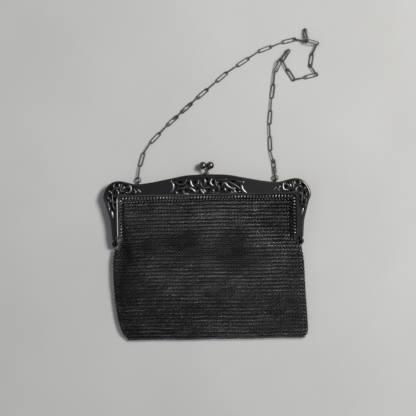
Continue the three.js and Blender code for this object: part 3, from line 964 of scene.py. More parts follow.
@dataclass
class FrameHalf:
    """One half of the hinged frame: a channel with raised rims, pierced on the front.

    Attributes:
        side: Which face it is.
        outline: The outline of both halves.
        closed_depth: Depth of the closed frame.
        half_depth: Depth of one half.
        plate_depth: Thickness of the face plate.
        rim_rise: How far the rims stand above the plate.
        outer_rim: Width of the outer rim.
        inner_rim: Width of the inner rim.
        rim_fall: How far a rim slopes down to its free edge.
        edge: Radius of the rims' rounded edges.
        panel_half: Half of the pierced panel's length.
        window_inset: A window's distance from the outer edge.
        window_margin: Plain strip between the inner rim and a window.
        window_top_margin: The panel's rim at its middle.
        ground_depth: How deep the pierced ground lies under the face.
        ground_thickness: The ground's thickness.
        stroke_depth: Depth of a leaf against its width.
        leaf_sink: How far a leaf's middle lies under the closed frame's face.
        tendril_rise: How far a tendril's middle lies over the ground.
        bead_sink: How far a bead's middle lies under the face, as a share of its radius.
        ear_radius: Radius of the hinge ears.
        ear_thickness: Their thickness.
        ear_inset: Their distance inside the legs' ends.
        strip_length: Length of the strip that carries an ear.
        strip_depth: Its depth.
        ear_edge: Radius of the ears' and strips' rounded edges.
        running_gap: Play in the hinge.
        eye_radius: Radius of the soldered eyes for the chain.
        eye_wire: Their wire's diameter.
        ring_wire: The jump rings' wire's diameter.
        painted_highlight_shoulder: Where the painted highlight on the right shoulder's outer rim
            begins, across and up.
    """

    side: Side
    outline: Outline = field(default_factory=Outline)
    closed_depth: float = 8.5
    half_depth: float = 4.1
    plate_depth: float = 1.4
    rim_rise: float = 0.2
    outer_rim: float = 1.3
    inner_rim: float = 1.15
    rim_fall: float = 0.4
    edge: float = 0.25
    panel_half: float = 28.4
    window_inset: float = 1.45
    window_margin: float = 0.2
    window_top_margin: float = 2.9
    ground_depth: float = 0.9
    ground_thickness: float = 0.6
    stroke_depth: float = 0.8
    leaf_sink: float = 0.62
    tendril_rise: float = 0.3
    bead_sink: float = 0.85
    ear_radius: float = 2.9
    ear_thickness: float = 1.2
    ear_inset: float = 0.5
    strip_length: float = 7.6
    strip_depth: float = 2.6
    ear_edge: float = 0.15
    running_gap: float = 0.3
    eye_radius: float = 1.35
    eye_wire: float = 0.85
    ring_wire: float = 0.75
    painted_highlight_shoulder: Point = (66.0, 33.0)

    @property
    def face(self) -> float:
        """Height of the plate's face."""
        return self.closed_depth - self.rim_rise

    def panel_window(self) -> list[Point]:
        """Draw the window behind the panel's scrolls.

        Returns:
            The window's outline.
        """
        line = self.outline
        inset = self.window_inset
        waist = 0.05 * self.panel_half
        reach = self.panel_half - waist
        bottom = line.bar_bottom + self.inner_rim + self.window_margin
        limit = line.bar_top - self.window_top_margin
        steps = 14
        top = [
            (reach * k / steps, min(line.height_at(reach * k / steps) - inset, limit))
            for k in range(steps + 1)
        ]
        high = top[-1][1]
        side = [
            (
                reach - waist * math.sin(math.pi * k / 8),
                high + (bottom - high) * k / 8,
            )
            for k in range(1, 9)
        ]
        right = top + side
        return mirrored(right)[:-1] + right

    def shoulder_window(self) -> list[Point]:
        """Draw the window behind the right shoulder's scrolls.

        Returns:
            The window's outline.
        """
        line = self.outline
        inset = self.window_inset
        start = 0.71 * line.half_width
        bottom = line.bar_bottom + self.inner_rim + self.window_margin
        end = line.bar_bottom - 0.72 * line.bar_height
        inner = line.inner_half + self.inner_rim + self.window_margin
        rim = [p for p in line.outer() if p[0] > start and p[1] > end]
        tip = (0.4 * inner + 0.6 * line.flank[3][0] * line.half_width, end - 1.8)
        bow = [(start - 1.1 * math.sin(math.pi * k / 6), bottom + 1.5 * k) for k in range(5)]
        return [*shifted(rim, -inset), tip, (inner, end + 1), (inner, bottom), *bow]

    def rim(self, name: str, free: list[Point], width: float) -> bpy.types.Object:
        """Make a rim that slopes down to its free edge.

        Args:
            name: The rim's name.
            free: The line of its free edge.
            width: Its width, to the left of that line.

        Returns:
            The rim.
        """
        band = free + list(reversed(shifted(free, width)))
        parting = self.closed_depth - self.half_depth
        made = cut_plate(name, [band], parting, self.closed_depth, self.edge)
        points = points_of(made)
        knots = np.array(free)
        run = np.diff(knots, axis=0)
        off = points[:, None, :2] - knots[:-1]
        share = np.clip((off * run).sum(axis=2) / (run * run).sum(axis=1), 0, 1)
        away = np.linalg.norm(off - run * share[..., None], axis=2).min(axis=1)
        slope = self.rim_fall * np.clip(1 - away / abs(width), 0, 1)
        points[:, 2] -= np.where(points[:, 2] > parting + 1, slope, 0)
        set_points(made, points)
        return made

    def pierced_work(self, windows: Sequence[list[Point]]) -> list[bpy.types.Object]:
        """Make the pierced ground in the windows, with its leaves, tendrils and beads.

        Args:
            windows: The outlines of the panel's and both shoulders' windows.

        Returns:
            The ground's three parts, the leaves, the tendrils and the beads.
        """
        top = self.face - self.ground_depth
        holes = (
            [hole.outline() for hole in PANEL_HOLES],
            [hole.outline() for hole in SHOULDER_HOLES],
            [hole.outline(-1) for hole in SHOULDER_HOLES],
        )
        made = [
            cut_plate("ground", [window, *cuts], top - self.ground_thickness, top, 0.1)
            for window, cuts in zip(windows, holes)
        ]
        leaf_level = self.closed_depth - self.leaf_sink
        for name, level, panel, shoulder in (
            ("leaves", leaf_level, PANEL_STROKES, SHOULDER_STROKES),
            ("tendrils", top + self.tendril_rise, PANEL_TENDRILS, SHOULDER_TENDRILS),
        ):
            lines = [stroke.line(level) for stroke in panel]
            lines += [stroke.line(level, mirror) for stroke in shoulder for mirror in (1, -1)]
            strokes = bars(name, lines, 1.0, 12)
            points = points_of(strokes)
            points[:, 2] = level + self.stroke_depth * (points[:, 2] - level)
            set_points(strokes, points)
            made.append(strokes)
        beads = list(PANEL_BEADS)
        beads += [(x * mirror, y, radius) for x, y, radius in SHOULDER_BEADS for mirror in (1, -1)]
        for x, y, radius in beads:
            bpy.ops.mesh.primitive_uv_sphere_add(
                segments=16,
                ring_count=10,
                radius=radius * MM,
                location=(x * MM, y * MM, (self.closed_depth - self.bead_sink * radius) * MM),
            )
            made.append(settled(bpy.context.object, ROUND_CREASE))
        return made

    def ears(self) -> list[bpy.types.Object]:
        """Make the two hinge ears with the strips that carry them.

        Returns:
            The ears and strips.
        """
        leg_end = self.outline.flank[-1][0] * self.outline.half_width
        outset = leg_end - self.ear_inset
        if self.side is Side.BACK:
            outset -= self.ear_thickness + self.running_gap
        made = []
        for mirror in (-1, 1):
            centre = mirror * (outset - self.ear_thickness / 2)
            bpy.ops.mesh.primitive_cylinder_add(
                vertices=32,
                radius=self.ear_radius * MM,
                depth=self.ear_thickness * MM,
                location=(centre * MM, 0, self.closed_depth / 2 * MM),
                rotation=(0, math.pi / 2, 0),
            )
            made.append(rounded(bpy.context.object, self.ear_edge, 2))
            bpy.ops.mesh.primitive_cube_add(
                size=1,
                location=(
                    centre * MM,
                    self.strip_length / 2 * MM,
                    (self.face - self.strip_depth / 2) * MM,
                ),
                scale=(self.ear_thickness * MM, self.strip_length * MM, self.strip_depth * MM),
            )
            made.append(rounded(bpy.context.object, self.ear_edge, 2))
        return made

    def eyes(self) -> list[bpy.types.Object]:
        """Make the back half's two soldered eyes, each below its jump ring.

        Returns:
            The eyes.
        """
        made = []
        for ring in ("jump_ring_left", "jump_ring_right"):
            low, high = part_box(ring)
            reach = (high.y - low.y) / MM / 2 - self.ring_wire / 2
            centre = (low + high) / 2
            bpy.ops.mesh.primitive_torus_add(
                major_segments=32,
                minor_segments=10,
                major_radius=self.eye_radius * MM,
                minor_radius=self.eye_wire / 2 * MM,
                location=(centre.x, centre.y - reach * MM, self.half_depth / 2 * MM),
                rotation=(0, math.pi / 2, 0),
            )
            made.append(settled(bpy.context.object, ROUND_CREASE))
        return made

    def build(self) -> bpy.types.Object:
        """Build and dress the half.

        Returns:
            The finished frame half.
        """
        line = self.outline
        bottom = self.face - self.plate_depth
        windows: list[list[Point]] = []
        if self.side is Side.FRONT:
            shoulder = self.shoulder_window()
            windows = [self.panel_window(), shoulder, mirrored(shoulder)]
        parts = [
            cut_plate("plate", [line.plate(), *windows], bottom, self.face, 0.12),
            self.rim("rim_out", line.outer(), -self.outer_rim),
            self.rim("rim_in", line.inner(), self.inner_rim),
            *self.ears(),
        ]
        if windows:
            parts += self.pierced_work(windows)
        for part in parts:
            relief = (points_of(part)[:, 2] - bottom) / (self.closed_depth - bottom)
            plain = PLAIN_WEAR.get(part.name.split(".")[0])
            worn = 0.1 + 0.65 * np.clip(relief, 0, 1.1) ** 4
            if plain is not None:
                worn = np.full(len(relief), plain)
            place = points_of(part)
            # Painted highlight: the left leg's inner rim, which faces the key light, is painted
            # fully bright.
            if part.name == "rim_in":
                worn[place[:, 0] < 1 - line.inner_half] = 1.0
            # Painted highlight: the right shoulder's outer rim, where the key light falls, is
            # painted brighter.
            if part.name == "rim_out":
                worn[(place[:, :2] > self.painted_highlight_shoulder).all(axis=1)] = 0.62
            mark_wear_and_shade(part, worn)
        name = "frame_front" if self.side is Side.FRONT else "frame_back"
        half = joined(name, parts)
        if self.side is Side.BACK:
            points = points_of(half)
            points[:, 2] = self.closed_depth - points[:, 2]
            points[:, 0] *= -1
            set_points(half, points)
            eyes = self.eyes()
            for eye in eyes:
                mark_wear_and_shade(eye, np.full(len(eye.data.vertices), 0.5))
            half = joined(name, [half, *eyes])
        node = "front_frame" if self.side is Side.FRONT else "back_frame"
        return FRAME_METAL.dress(half, node)


@dataclass
class Hinge:
    """The two rivets of the hinge.

    Attributes:
        pin_radius: Radius of the rivet.
        head_radius: Radius of its heads.
        head_depth: Depth of a head.
        edge: Radius of the rounded edges.
        wear: How bright the rivets are rubbed.
    """

    pin_radius: float = 0.8
    head_radius: float = 1.5
    head_depth: float = 0.7
    edge: float = 0.25
    wear: float = 0.55

    def build(self) -> list[bpy.types.Object]:
        """Build and dress both pins.

        Returns:
            The left and the right pin.
        """
        return [self.pin(name) for name in ("hinge_pin_left", "hinge_pin_right")]

    def pin(self, node: str) -> bpy.types.Object:
        """Build one pin where its node is.

        Args:
            node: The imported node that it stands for.

        Returns:
            The dressed pin.
        """
        low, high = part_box(node)
        middle = (low + high) / 2
        head = self.head_depth * MM
        shank = high.x - low.x - head
        parts = []
        for radius, depth, shift in (
            (self.pin_radius, shank, 0.0),
            (self.head_radius, head, shank / 2),
            (self.head_radius, head, -shank / 2),
        ):
            bpy.ops.mesh.primitive_cylinder_add(
                vertices=28,
                radius=radius * MM,
                depth=depth,
                location=(middle.x + shift, middle.y, middle.z),
                rotation=(0, math.pi / 2, 0),
            )
            parts.append(rounded(bpy.context.object, self.edge, 3))
        pin = joined(f"{node}_rivet", parts)
        mark_wear_and_shade(pin, np.full(len(pin.data.vertices), self.wear))
        return CLASP_METAL.dress(pin, node)


@dataclass
class Clasp:
    """The ball clasp: two balls on leaning stems that snap past each other.

    Attributes:
        ball_radius: Radius of a ball.
        stem_radius: Radius of a stem at its middle.
        foot_radius: Radius of a foot.
        foot_height: Height of a foot.
        foot_edge: Radius of its rounded edges.
        ball_rise: A ball's centre above the bar.
        ball_spread: A ball's centre beside the purse's middle.
        foot_spread: A foot beside the middle, on the other side.
        ball_inset: How far a ball leans to the other half.
        seat_gap: Gap under a foot.
        half_depth: Depth of one frame half.
        closed_depth: Depth of the closed frame.
        stem_profile: A stem's thickness: place along it and share of its radius.
        stem_wear: How bright the stems are rubbed.
        ball_wear: How bright the balls are rubbed.
    """

    ball_radius: float = 2.9
    stem_radius: float = 0.8
    foot_radius: float = 1.5
    foot_height: float = 1.0
    foot_edge: float = 0.3
    ball_rise: float = 6.8
    ball_spread: float = 2.85
    foot_spread: float = 0.4
    ball_inset: float = 1.1
    seat_gap: float = 0.3
    half_depth: float = 4.1
    closed_depth: float = 8.5
    stem_profile: tuple[Point, ...] = (
        (0.0, 1.5),
        (0.12, 1.25),
        (0.3, 0.95),
        (0.6, 0.95),
        (0.8, 1.3),
        (1.0, 1.6),
    )
    stem_wear: float = 0.95
    ball_wear: float = 0.6

    def build(self) -> list[bpy.types.Object]:
        """Build and dress both balls.

        Returns:
            The front and the back ball.
        """
        middle = self.half_depth / 2
        front = self.closed_depth - middle
        return [
            self.ball("clasp_front", -1, front, front - self.ball_inset),
            self.ball("clasp_back", 1, middle, middle + self.ball_inset),
        ]

    def ball(
        self, node: str, side: int, foot_depth: float, ball_depth: float
    ) -> bpy.types.Object:
        """Build one ball on its stem.

        Args:
            node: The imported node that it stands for.
            side: 1 for the ball on the right, and -1 on the left.
            foot_depth: Height of its foot above the floor.
            ball_depth: Height of its ball's centre.

        Returns:
            The dressed ball.
        """
        base = Outline().bar_top + self.seat_gap
        foot = Vector((-side * self.foot_spread, base, foot_depth))
        ball = Vector((side * self.ball_spread, base - self.seat_gap + self.ball_rise, ball_depth))
        stem_start = foot + Vector((0, self.foot_height / 2, 0))
        along = ball - stem_start
        line = [(*(stem_start + along * t), share) for t, share in self.stem_profile]
        parts = [bars("stem", [line], self.stem_radius, 16)]
        bpy.ops.mesh.primitive_cylinder_add(
            vertices=32,
            radius=self.foot_radius * MM,
            depth=self.foot_height * MM,
            location=(foot.x * MM, (foot.y + self.foot_height / 2) * MM, foot.z * MM),
            rotation=(math.pi / 2, 0, 0),
        )
        parts.append(rounded(bpy.context.object, self.foot_edge, 3))
        bpy.ops.mesh.primitive_uv_sphere_add(
            segments=48, ring_count=28, radius=self.ball_radius * MM, location=ball * MM
        )
        parts.append(settled(bpy.context.object, ROUND_CREASE))
        whole = joined(f"{node}_ball", parts)
        points = points_of(whole)
        is_stem = points[:, 1] - base < self.ball_rise - self.ball_radius
        mark_wear_and_shade(whole, np.where(is_stem, self.stem_wear, self.ball_wear))
        return CLASP_METAL.dress(whole, node)


@dataclass
class Lacing:
    """The spiral wire that holds the mail to one frame half.

    Attributes:
        side: Which face it is on.
        outer_diameter: Diameter over the spiral.
        wire: Diameter of its wire.
        pitch: Length of a turn.
        corner: Radius of its corners.
        seat_gap: Gap to the frame's inner edge.
        steps: Points of a turn.
        flatness: Depth of the worn spiral against its width.
        middle_wear: How bright the wire is halfway up the spiral.
        wear_rise: How fast that grows towards the top.
        top_wear: How bright it is at most.
    """

    side: Side
    outer_diameter: float = 2.7
    wire: float = 0.8
    pitch: float = 2.4
    corner: float = 3.0
    seat_gap: float = 0.3
    steps: int = 16
    flatness: float = 0.6
    middle_wear: float = 0.15
    wear_rise: float = 1.6
    top_wear: float = 0.84

    def route(self) -> np.ndarray:
        """Draw the spiral's middle line.

        Returns:
            Evenly spaced points, two numbers each.
        """
        line = Outline()
        inset = self.seat_gap + self.outer_diameter / 2
        half, top = line.inner_half - inset, line.bar_bottom - inset
        right = arc_points((half - self.corner, top - self.corner), self.corner, 90, 0, 10)
        right.append((half, line.leg_end + self.wire))
        path = np.array(mirrored(right) + right)
        run = np.concatenate([[0], np.cumsum(np.linalg.norm(np.diff(path, axis=0), axis=1))])
        count = round(run[-1] / self.pitch) * self.steps
        places = np.linspace(0, run[-1], count + 1)
        return np.stack([np.interp(places, run, path[:, k]) for k in (0, 1)], axis=1)

    def build(self) -> bpy.types.Object:
        """Build and dress the spiral.

        Returns:
            The finished lacing.
        """
        node = "front_lacing" if self.side is Side.FRONT else "back_lacing"
        low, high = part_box(node)
        level = (low.z + high.z) / 2 / MM
        path = self.route()
        run = np.gradient(path, axis=0)
        run /= np.linalg.norm(run, axis=1)[:, None]
        out = np.stack([-run[:, 1], run[:, 0]], axis=1)
        reach = (self.outer_diameter - self.wire) / 2
        angle = np.arange(len(path)) * 2 * math.pi / self.steps
        rise = self.side.value * reach * (self.flatness * np.cos(angle) + 1 - self.flatness)
        flat = path + out * (reach * np.sin(angle))[:, None]
        line = [(x, y, level + z, 1.0) for (x, y), z in zip(flat, rise)]
        spiral = bars(f"{node}_spiral", [line], self.wire / 2, 8)
        height = self.side.value * (points_of(spiral)[:, 2] - level) - reach * (1 - self.flatness)
        worn = self.middle_wear + self.wear_rise * height / (reach * self.flatness)
        mark_wear_and_shade(spiral, np.minimum(worn, self.top_wear))
        return LACING_METAL.dress(spiral, node)


@dataclass
class RingMail:
    """The bag's ring mail: rows of small rings, each linked to four others.

    Attributes:
        ring_radius: Radius of a ring to its wire's middle.
        wire_radius: Radius of its wire.
        column_pitch: Distance between rings of a row.
        row_pitch: Distance between rows.
        lean_degrees: How far rings lean up or down the bag, in alternate rows.
        lean_sway: How much that lean changes from place to place.
        tilt_degrees: How far the rings of a row lean on each other.
        half_width: Half of the bag's widest row below the hinges.
        drop: The bag's lowest point below the hinges.
        thickness: The filled bag's thickness.
        mouth: Middle of the highest row, above the hinges.
        mouth_columns: Rings on each side of the middle above the hinges.
        body_columns: Rings on each side of the middle below them.
        open_drop: How far below the hinges the two panels stay apart.
        leg_end: Height of the legs' ends, below which the panels widen.
        wall: Half of the mail's own thickness.
        rows: Down as a share of the drop, left and right as shares of the half width, and body
            as a share of the thickness.
        folds: Both ends as shares of the half width and drop, spread as a share of the half
            width and height as a share of the thickness.
        lean_spread: How much single rings lean more or less than their row.
        tilt_spread: How much single rings tilt more or less.
        row_wander: How far a row strays from its height.
        wear_patches: Width and height of the larger and the smaller worn patches.
        patch_wear: How much brighter or darker they are.
        ring_wear: How much single rings are brighter or darker.
        top_wear: How much brighter the mail is between the legs.
        left_shade: How much darker the mail is painted on the left, below the legs: painted shade
            away from the key light.
        fold_shading: How much brighter a raised fold is painted and how much darker a sunken one,
            against the fold's height: painted light and shade on the drapes.
        tucked_shade: How bright the rings behind the lacing are, against the others: painted shade
            under the lacing and frame.
    """

    ring_radius: float = 1.27
    wire_radius: float = 0.26
    column_pitch: float = 2.25
    row_pitch: float = 1.41
    lean_degrees: float = 25.0
    lean_sway: float = 9.0
    tilt_degrees: float = 15.0
    half_width: float = 74.0
    drop: float = 75.6
    thickness: float = 8.0
    mouth: float = 32.3
    mouth_columns: int = 29
    body_columns: int = 33
    open_drop: float = 3.2
    leg_end: float = 2.6
    wall: float = 0.95
    rows: tuple[tuple[float, float, float, float], ...] = (
        (-0.44, 0.972, 0.972, 0.95),
        (-0.26, 0.972, 0.972, 0.98),
        (-0.11, 0.972, 0.972, 1.0),
        (0.0, 0.972, 0.972, 1.0),
        (0.07, 0.972, 0.972, 0.97),
        (0.16, 0.988, 0.99, 1.0),
        (0.27, 0.99, 0.995, 1.0),
        (0.4, 0.986, 1.001, 0.98),
        (0.54, 0.978, 1.008, 0.94),
        (0.68, 0.965, 1.015, 0.9),
        (0.8, 0.945, 1.02, 0.84),
        (0.89, 0.918, 1.023, 0.74),
        (0.955, 0.88, 1.02, 0.6),
        (0.985, 0.83, 0.99, 0.44),
        (1.0, 0.805, 0.96, 0.3),
    )
    folds: tuple[tuple[float, float, float, float, float, float], ...] = (
        (-0.87, 0.02, -0.83, 0.2, 0.035, -0.2),
        (-0.9, 0.22, -0.95, 0.66, 0.03, -0.15),
        (-0.62, 0.0, 0.3, 0.14, 0.09, -0.11),
        (-0.46, 0.05, -0.4, 0.09, 0.11, 0.1),
        (0.0, -0.02, 0.08, 0.0, 0.12, 0.09),
        (0.6, 0.02, 0.7, 0.07, 0.12, 0.1),
        (0.3, 0.4, -0.35, 0.62, 0.1, 0.06),
        (0.86, 0.3, 0.9, 0.85, 0.06, -0.08),
        (-0.21, -0.38, -0.2, 0.0, 0.03, -0.08),
        (0.2, -0.38, 0.22, 0.02, 0.03, -0.07),
        (0.32, -0.38, 0.3, -0.05, 0.025, -0.06),
        (-0.02, -0.3, 0.02, -0.1, 0.12, 0.05),
    )
    lean_spread: float = 6.0
    tilt_spread: float = 4.0
    row_wander: float = 0.24
    wear_patches: tuple[Point, ...] = ((26.0, 17.0), (9.0, 4.2))
    patch_wear: float = 0.1
    ring_wear: float = 0.06
    top_wear: float = 0.08
    left_shade: float = 0.1
    fold_shading: float = 1.1
    tucked_shade: float = 0.15

    def sized(self, down: np.ndarray, column: int, spread: float = 0.035) -> np.ndarray:
        """Read one column of the rows, smoothed.

        Args:
            down: Places down the bag as shares of its drop.
            column: Which column to read.
            spread: How far the reading is smoothed.

        Returns:
            The column's value at each place.
        """
        table = np.array(self.rows)
        reads = [
            np.interp(down + shift, table[:, 0], table[:, column])
            for shift in (-spread, 0, spread)
        ]
        return np.mean(reads, axis=0)

    def fold_height(self, across: np.ndarray, down: np.ndarray) -> np.ndarray:
        """Give what the folds add to the front's height.

        Args:
            across: Places across as shares of the half width.
            down: Places down as shares of the drop.

        Returns:
            The added height at each place.
        """
        tall = self.drop / self.half_width
        total = np.zeros_like(across)
        for from_x, from_y, to_x, to_y, spread, height in self.folds:
            run = np.array([to_x - from_x, (to_y - from_y) * tall])
            off = np.stack([across - from_x, (down - from_y) * tall])
            share = np.clip((run @ off) / (run @ run), 0, 1)
            away = np.linalg.norm(off - run[:, None] * share, axis=0) / spread
            total += height * self.thickness * np.exp(-away * away)
        return total

    def grid(self, side: Side) -> tuple[np.ndarray, np.ndarray, np.ndarray]:
        """Lay the rings out on the flat sheet.

        Args:
            side: Which face it is.

        Returns:
            Each ring's place along the section, its height up the bag, and its row's number.
        """
        count = int((self.mouth + self.drop - self.ring_radius) / self.row_pitch)
        along, up, rows = [], [], []
        for row in range(count + 1):
            y = self.mouth - row * self.row_pitch
            is_open = y > -self.open_drop
            columns = self.mouth_columns if is_open else self.body_columns
            if is_open and y < self.leg_end:
                columns += 1
            if side is Side.BACK and not is_open and row % 2 == 0:
                columns -= 1
            shift = 0.5 * (row % 2)
            places = np.arange(-columns, columns + 1 - row % 2) + shift
            along.append(places * self.column_pitch)
            up.append(np.full(len(places), y))
            rows.append(np.full(len(places), row))
        return np.concatenate(along), np.concatenate(up), np.concatenate(rows)

    def placed(
        self, side: Side, along: np.ndarray, up: np.ndarray
    ) -> tuple[np.ndarray, np.ndarray]:
        """Lay flat places onto the bag's surface.

        Args:
            side: Which face it is.
            along: Places along the section.
            up: Heights up the bag.

        Returns:
            The points, and the outward normals across the section.
        """
        down = -up / self.drop
        is_open = up > -self.open_drop
        half = self.half_width * np.where(along < 0, self.sized(down, 1), self.sized(down, 2))
        body = self.thickness * self.sized(down, 3)
        floor = self.wall + 0.3
        shown = np.clip(along / self.half_width, -1, 1)
        top = np.maximum(body - self.wall + self.fold_height(shown, down), floor + 1.2)
        radius = np.where(is_open, 1.0, np.maximum((top - floor) / 2, 0.6))
        length = self.body_columns * self.column_pitch
        flat = half - radius - self.wire_radius
        stretch = np.where(is_open, 1.0, (flat + radius * math.pi / 2) / length)
        reach = np.abs(along) * stretch
        turn = np.where(is_open, 0.0, np.clip((reach - flat) / radius, 0, math.pi / 2))
        across = np.sign(along) * np.where(turn > 0, flat + radius * np.sin(turn), reach)
        drop = np.where(is_open, 0.0, radius * (1 - np.cos(turn)))
        height = top - drop if side is Side.FRONT else floor + drop
        wander = 0.22 * np.sin(across / 19 + up / 31 + 0.6) * np.sin(up / 13 + 0.4)
        sway = 0.3 * np.sin(across / 27 - up / 40 + 1.9) + 0.14 * np.sin(across / 7.5 + 0.8)
        points = np.stack([across + wander, up + sway, height], axis=1)
        out = np.stack(
            [np.sign(along) * np.sin(turn), np.zeros_like(turn), side.value * np.cos(turn)], axis=1
        )
        return points, out

    def rubbed(self, side: Side, centre: np.ndarray, rng: np.random.Generator) -> np.ndarray:
        """Give how much brighter or darker the mail is from place to place: rubbed patches, single
        rings, a brighter band between the legs, painted shade on the left below the legs and, on
        the front, painted light and shade on the folds.

        Args:
            side: Which face it is.
            centre: The rings' centres.
            rng: The source of chance.

        Returns:
            What is added to each ring's wear, painted light and shade included.
        """
        across, up = centre[:, 0], centre[:, 1]
        total = np.zeros(len(centre))
        for wide, tall in self.wear_patches:
            total += self.patch_wear * patches(across, up, wide, tall, rng)
        total += rng.normal(0, self.ring_wear, len(centre))
        total += self.top_wear * np.clip((up - 8) / 14, 0, 1)
        # Painted shade: darker on the left below the legs, away from the key light.
        on_left = np.clip((-across - 50) / 14, 0, 1) * np.clip((12 - up) / 12, 0, 1)
        total -= self.left_shade * on_left
        # Painted light and shade of the drapes: brighter on raised folds, darker in sunken ones.
        if side is Side.FRONT:
            fold = self.fold_height(across / self.half_width, -up / self.drop)
            total += self.fold_shading * fold / self.thickness
        return total

    def ring(self) -> tuple[np.ndarray, np.ndarray]:
        """Model one ring and read it.

        Returns:
            The ring's points in millimetres and its faces.
        """
        bpy.ops.mesh.primitive_torus_add(
            major_segments=8,
            minor_segments=4,
            major_radius=self.ring_radius * MM,
            minor_radius=self.wire_radius * MM,
        )
        ring = bpy.context.object
        points = points_of(ring)
        faces = np.array([face.vertices[:] for face in ring.data.polygons])
        bpy.data.objects.remove(ring)
        return points, faces

    def laid(
        self, side: Side, ring: np.ndarray, rng: np.random.Generator
    ) -> tuple[np.ndarray, np.ndarray]:
        """Lay all the rings of one face, each leaning on its neighbours.

        Args:
            side: Which face it is.
            ring: One ring's points.
            rng: The source of chance.

        Returns:
            Each ring's points, and how bright each point is, from its wear and its painted light
            and shade.
        """
        along, up, rows = self.grid(side)
        centre, out = self.placed(side, along, up)
        step = 0.5
        uphill = self.placed(side, along, up + step)[0]
        uphill -= self.placed(side, along, up - step)[0]
        uphill /= np.linalg.norm(uphill, axis=1)[:, None]
        cross = np.cross(uphill, out)
        cross /= np.linalg.norm(cross, axis=1)[:, None]
        normal = np.cross(cross, uphill)
        centre[:, 1] += self.row_wander * patches(centre[:, 0], centre[:, 1], 11.0, 3.2, rng)
        sway = patches(along, up, 14.0, 7.0, rng)
        lean = self.lean_degrees + self.lean_sway * sway
        lean = np.where(rows % 2 == 0, lean, -lean)
        lean = np.radians(lean + rng.normal(0, self.lean_spread, len(rows)))
        tilt = np.radians(self.tilt_degrees + rng.normal(0, self.tilt_spread, len(rows)))
        local = np.repeat(ring[None], len(rows), axis=0)
        x, y, z = local[..., 0], local[..., 1], local[..., 2]
        c, s = np.cos(tilt)[:, None], np.sin(tilt)[:, None]
        x, z = x * c + z * s, z * c - x * s
        c, s = np.cos(lean)[:, None], np.sin(lean)[:, None]
        y, z = y * c - z * s, y * s + z * c
        points = (
            centre[:, None]
            + x[..., None] * cross[:, None]
            + y[..., None] * uphill[:, None]
            + z[..., None] * normal[:, None]
        )
        height = 0.5 + 0.5 * z / self.wall
        # The added brightness holds rubbed patches and also painted light and shade.
        wear = 0.16 + 0.52 * height + self.rubbed(side, centre, rng)[:, None]
        # Painted shade: the rings tucked under the lacing and frame are darkened.
        outermost = (self.mouth_columns - 0.8) * self.column_pitch
        tucked = (rows == 0) | ((up > self.leg_end) & (np.abs(along) > outermost))
        wear *= np.where(tucked, self.tucked_shade, 1.0)[:, None]
        return points, wear

    def build(self) -> list[bpy.types.Object]:
        """Build and dress the mail, each face in an upper and a lower piece.

        Returns:
            The four pieces.
        """
        ring, faces = self.ring()
        rng = np.random.default_rng(7)
        pieces = []
        for side in Side:
            points, wear = self.laid(side, ring, rng)
            parts = np.array_split(np.arange(len(points)), 2)
            for part, half in zip(parts, ("upper", "lower")):
                name = f"mail_{side.name.lower()}_{half}"
                corner = (np.arange(len(part)) * len(ring))[:, None, None] + faces[None]
                piece = mesh_object(
                    name, points[part].reshape(-1, 3), corner.reshape(-1, faces.shape[1])
                )
                mark_wear_and_shade(piece, wear[part].ravel())
                nodes = ("mesh_bag",) if name == "mail_front_upper" else ()
                pieces.append(MAIL_METAL.dress(piece, *nodes))
        return pieces


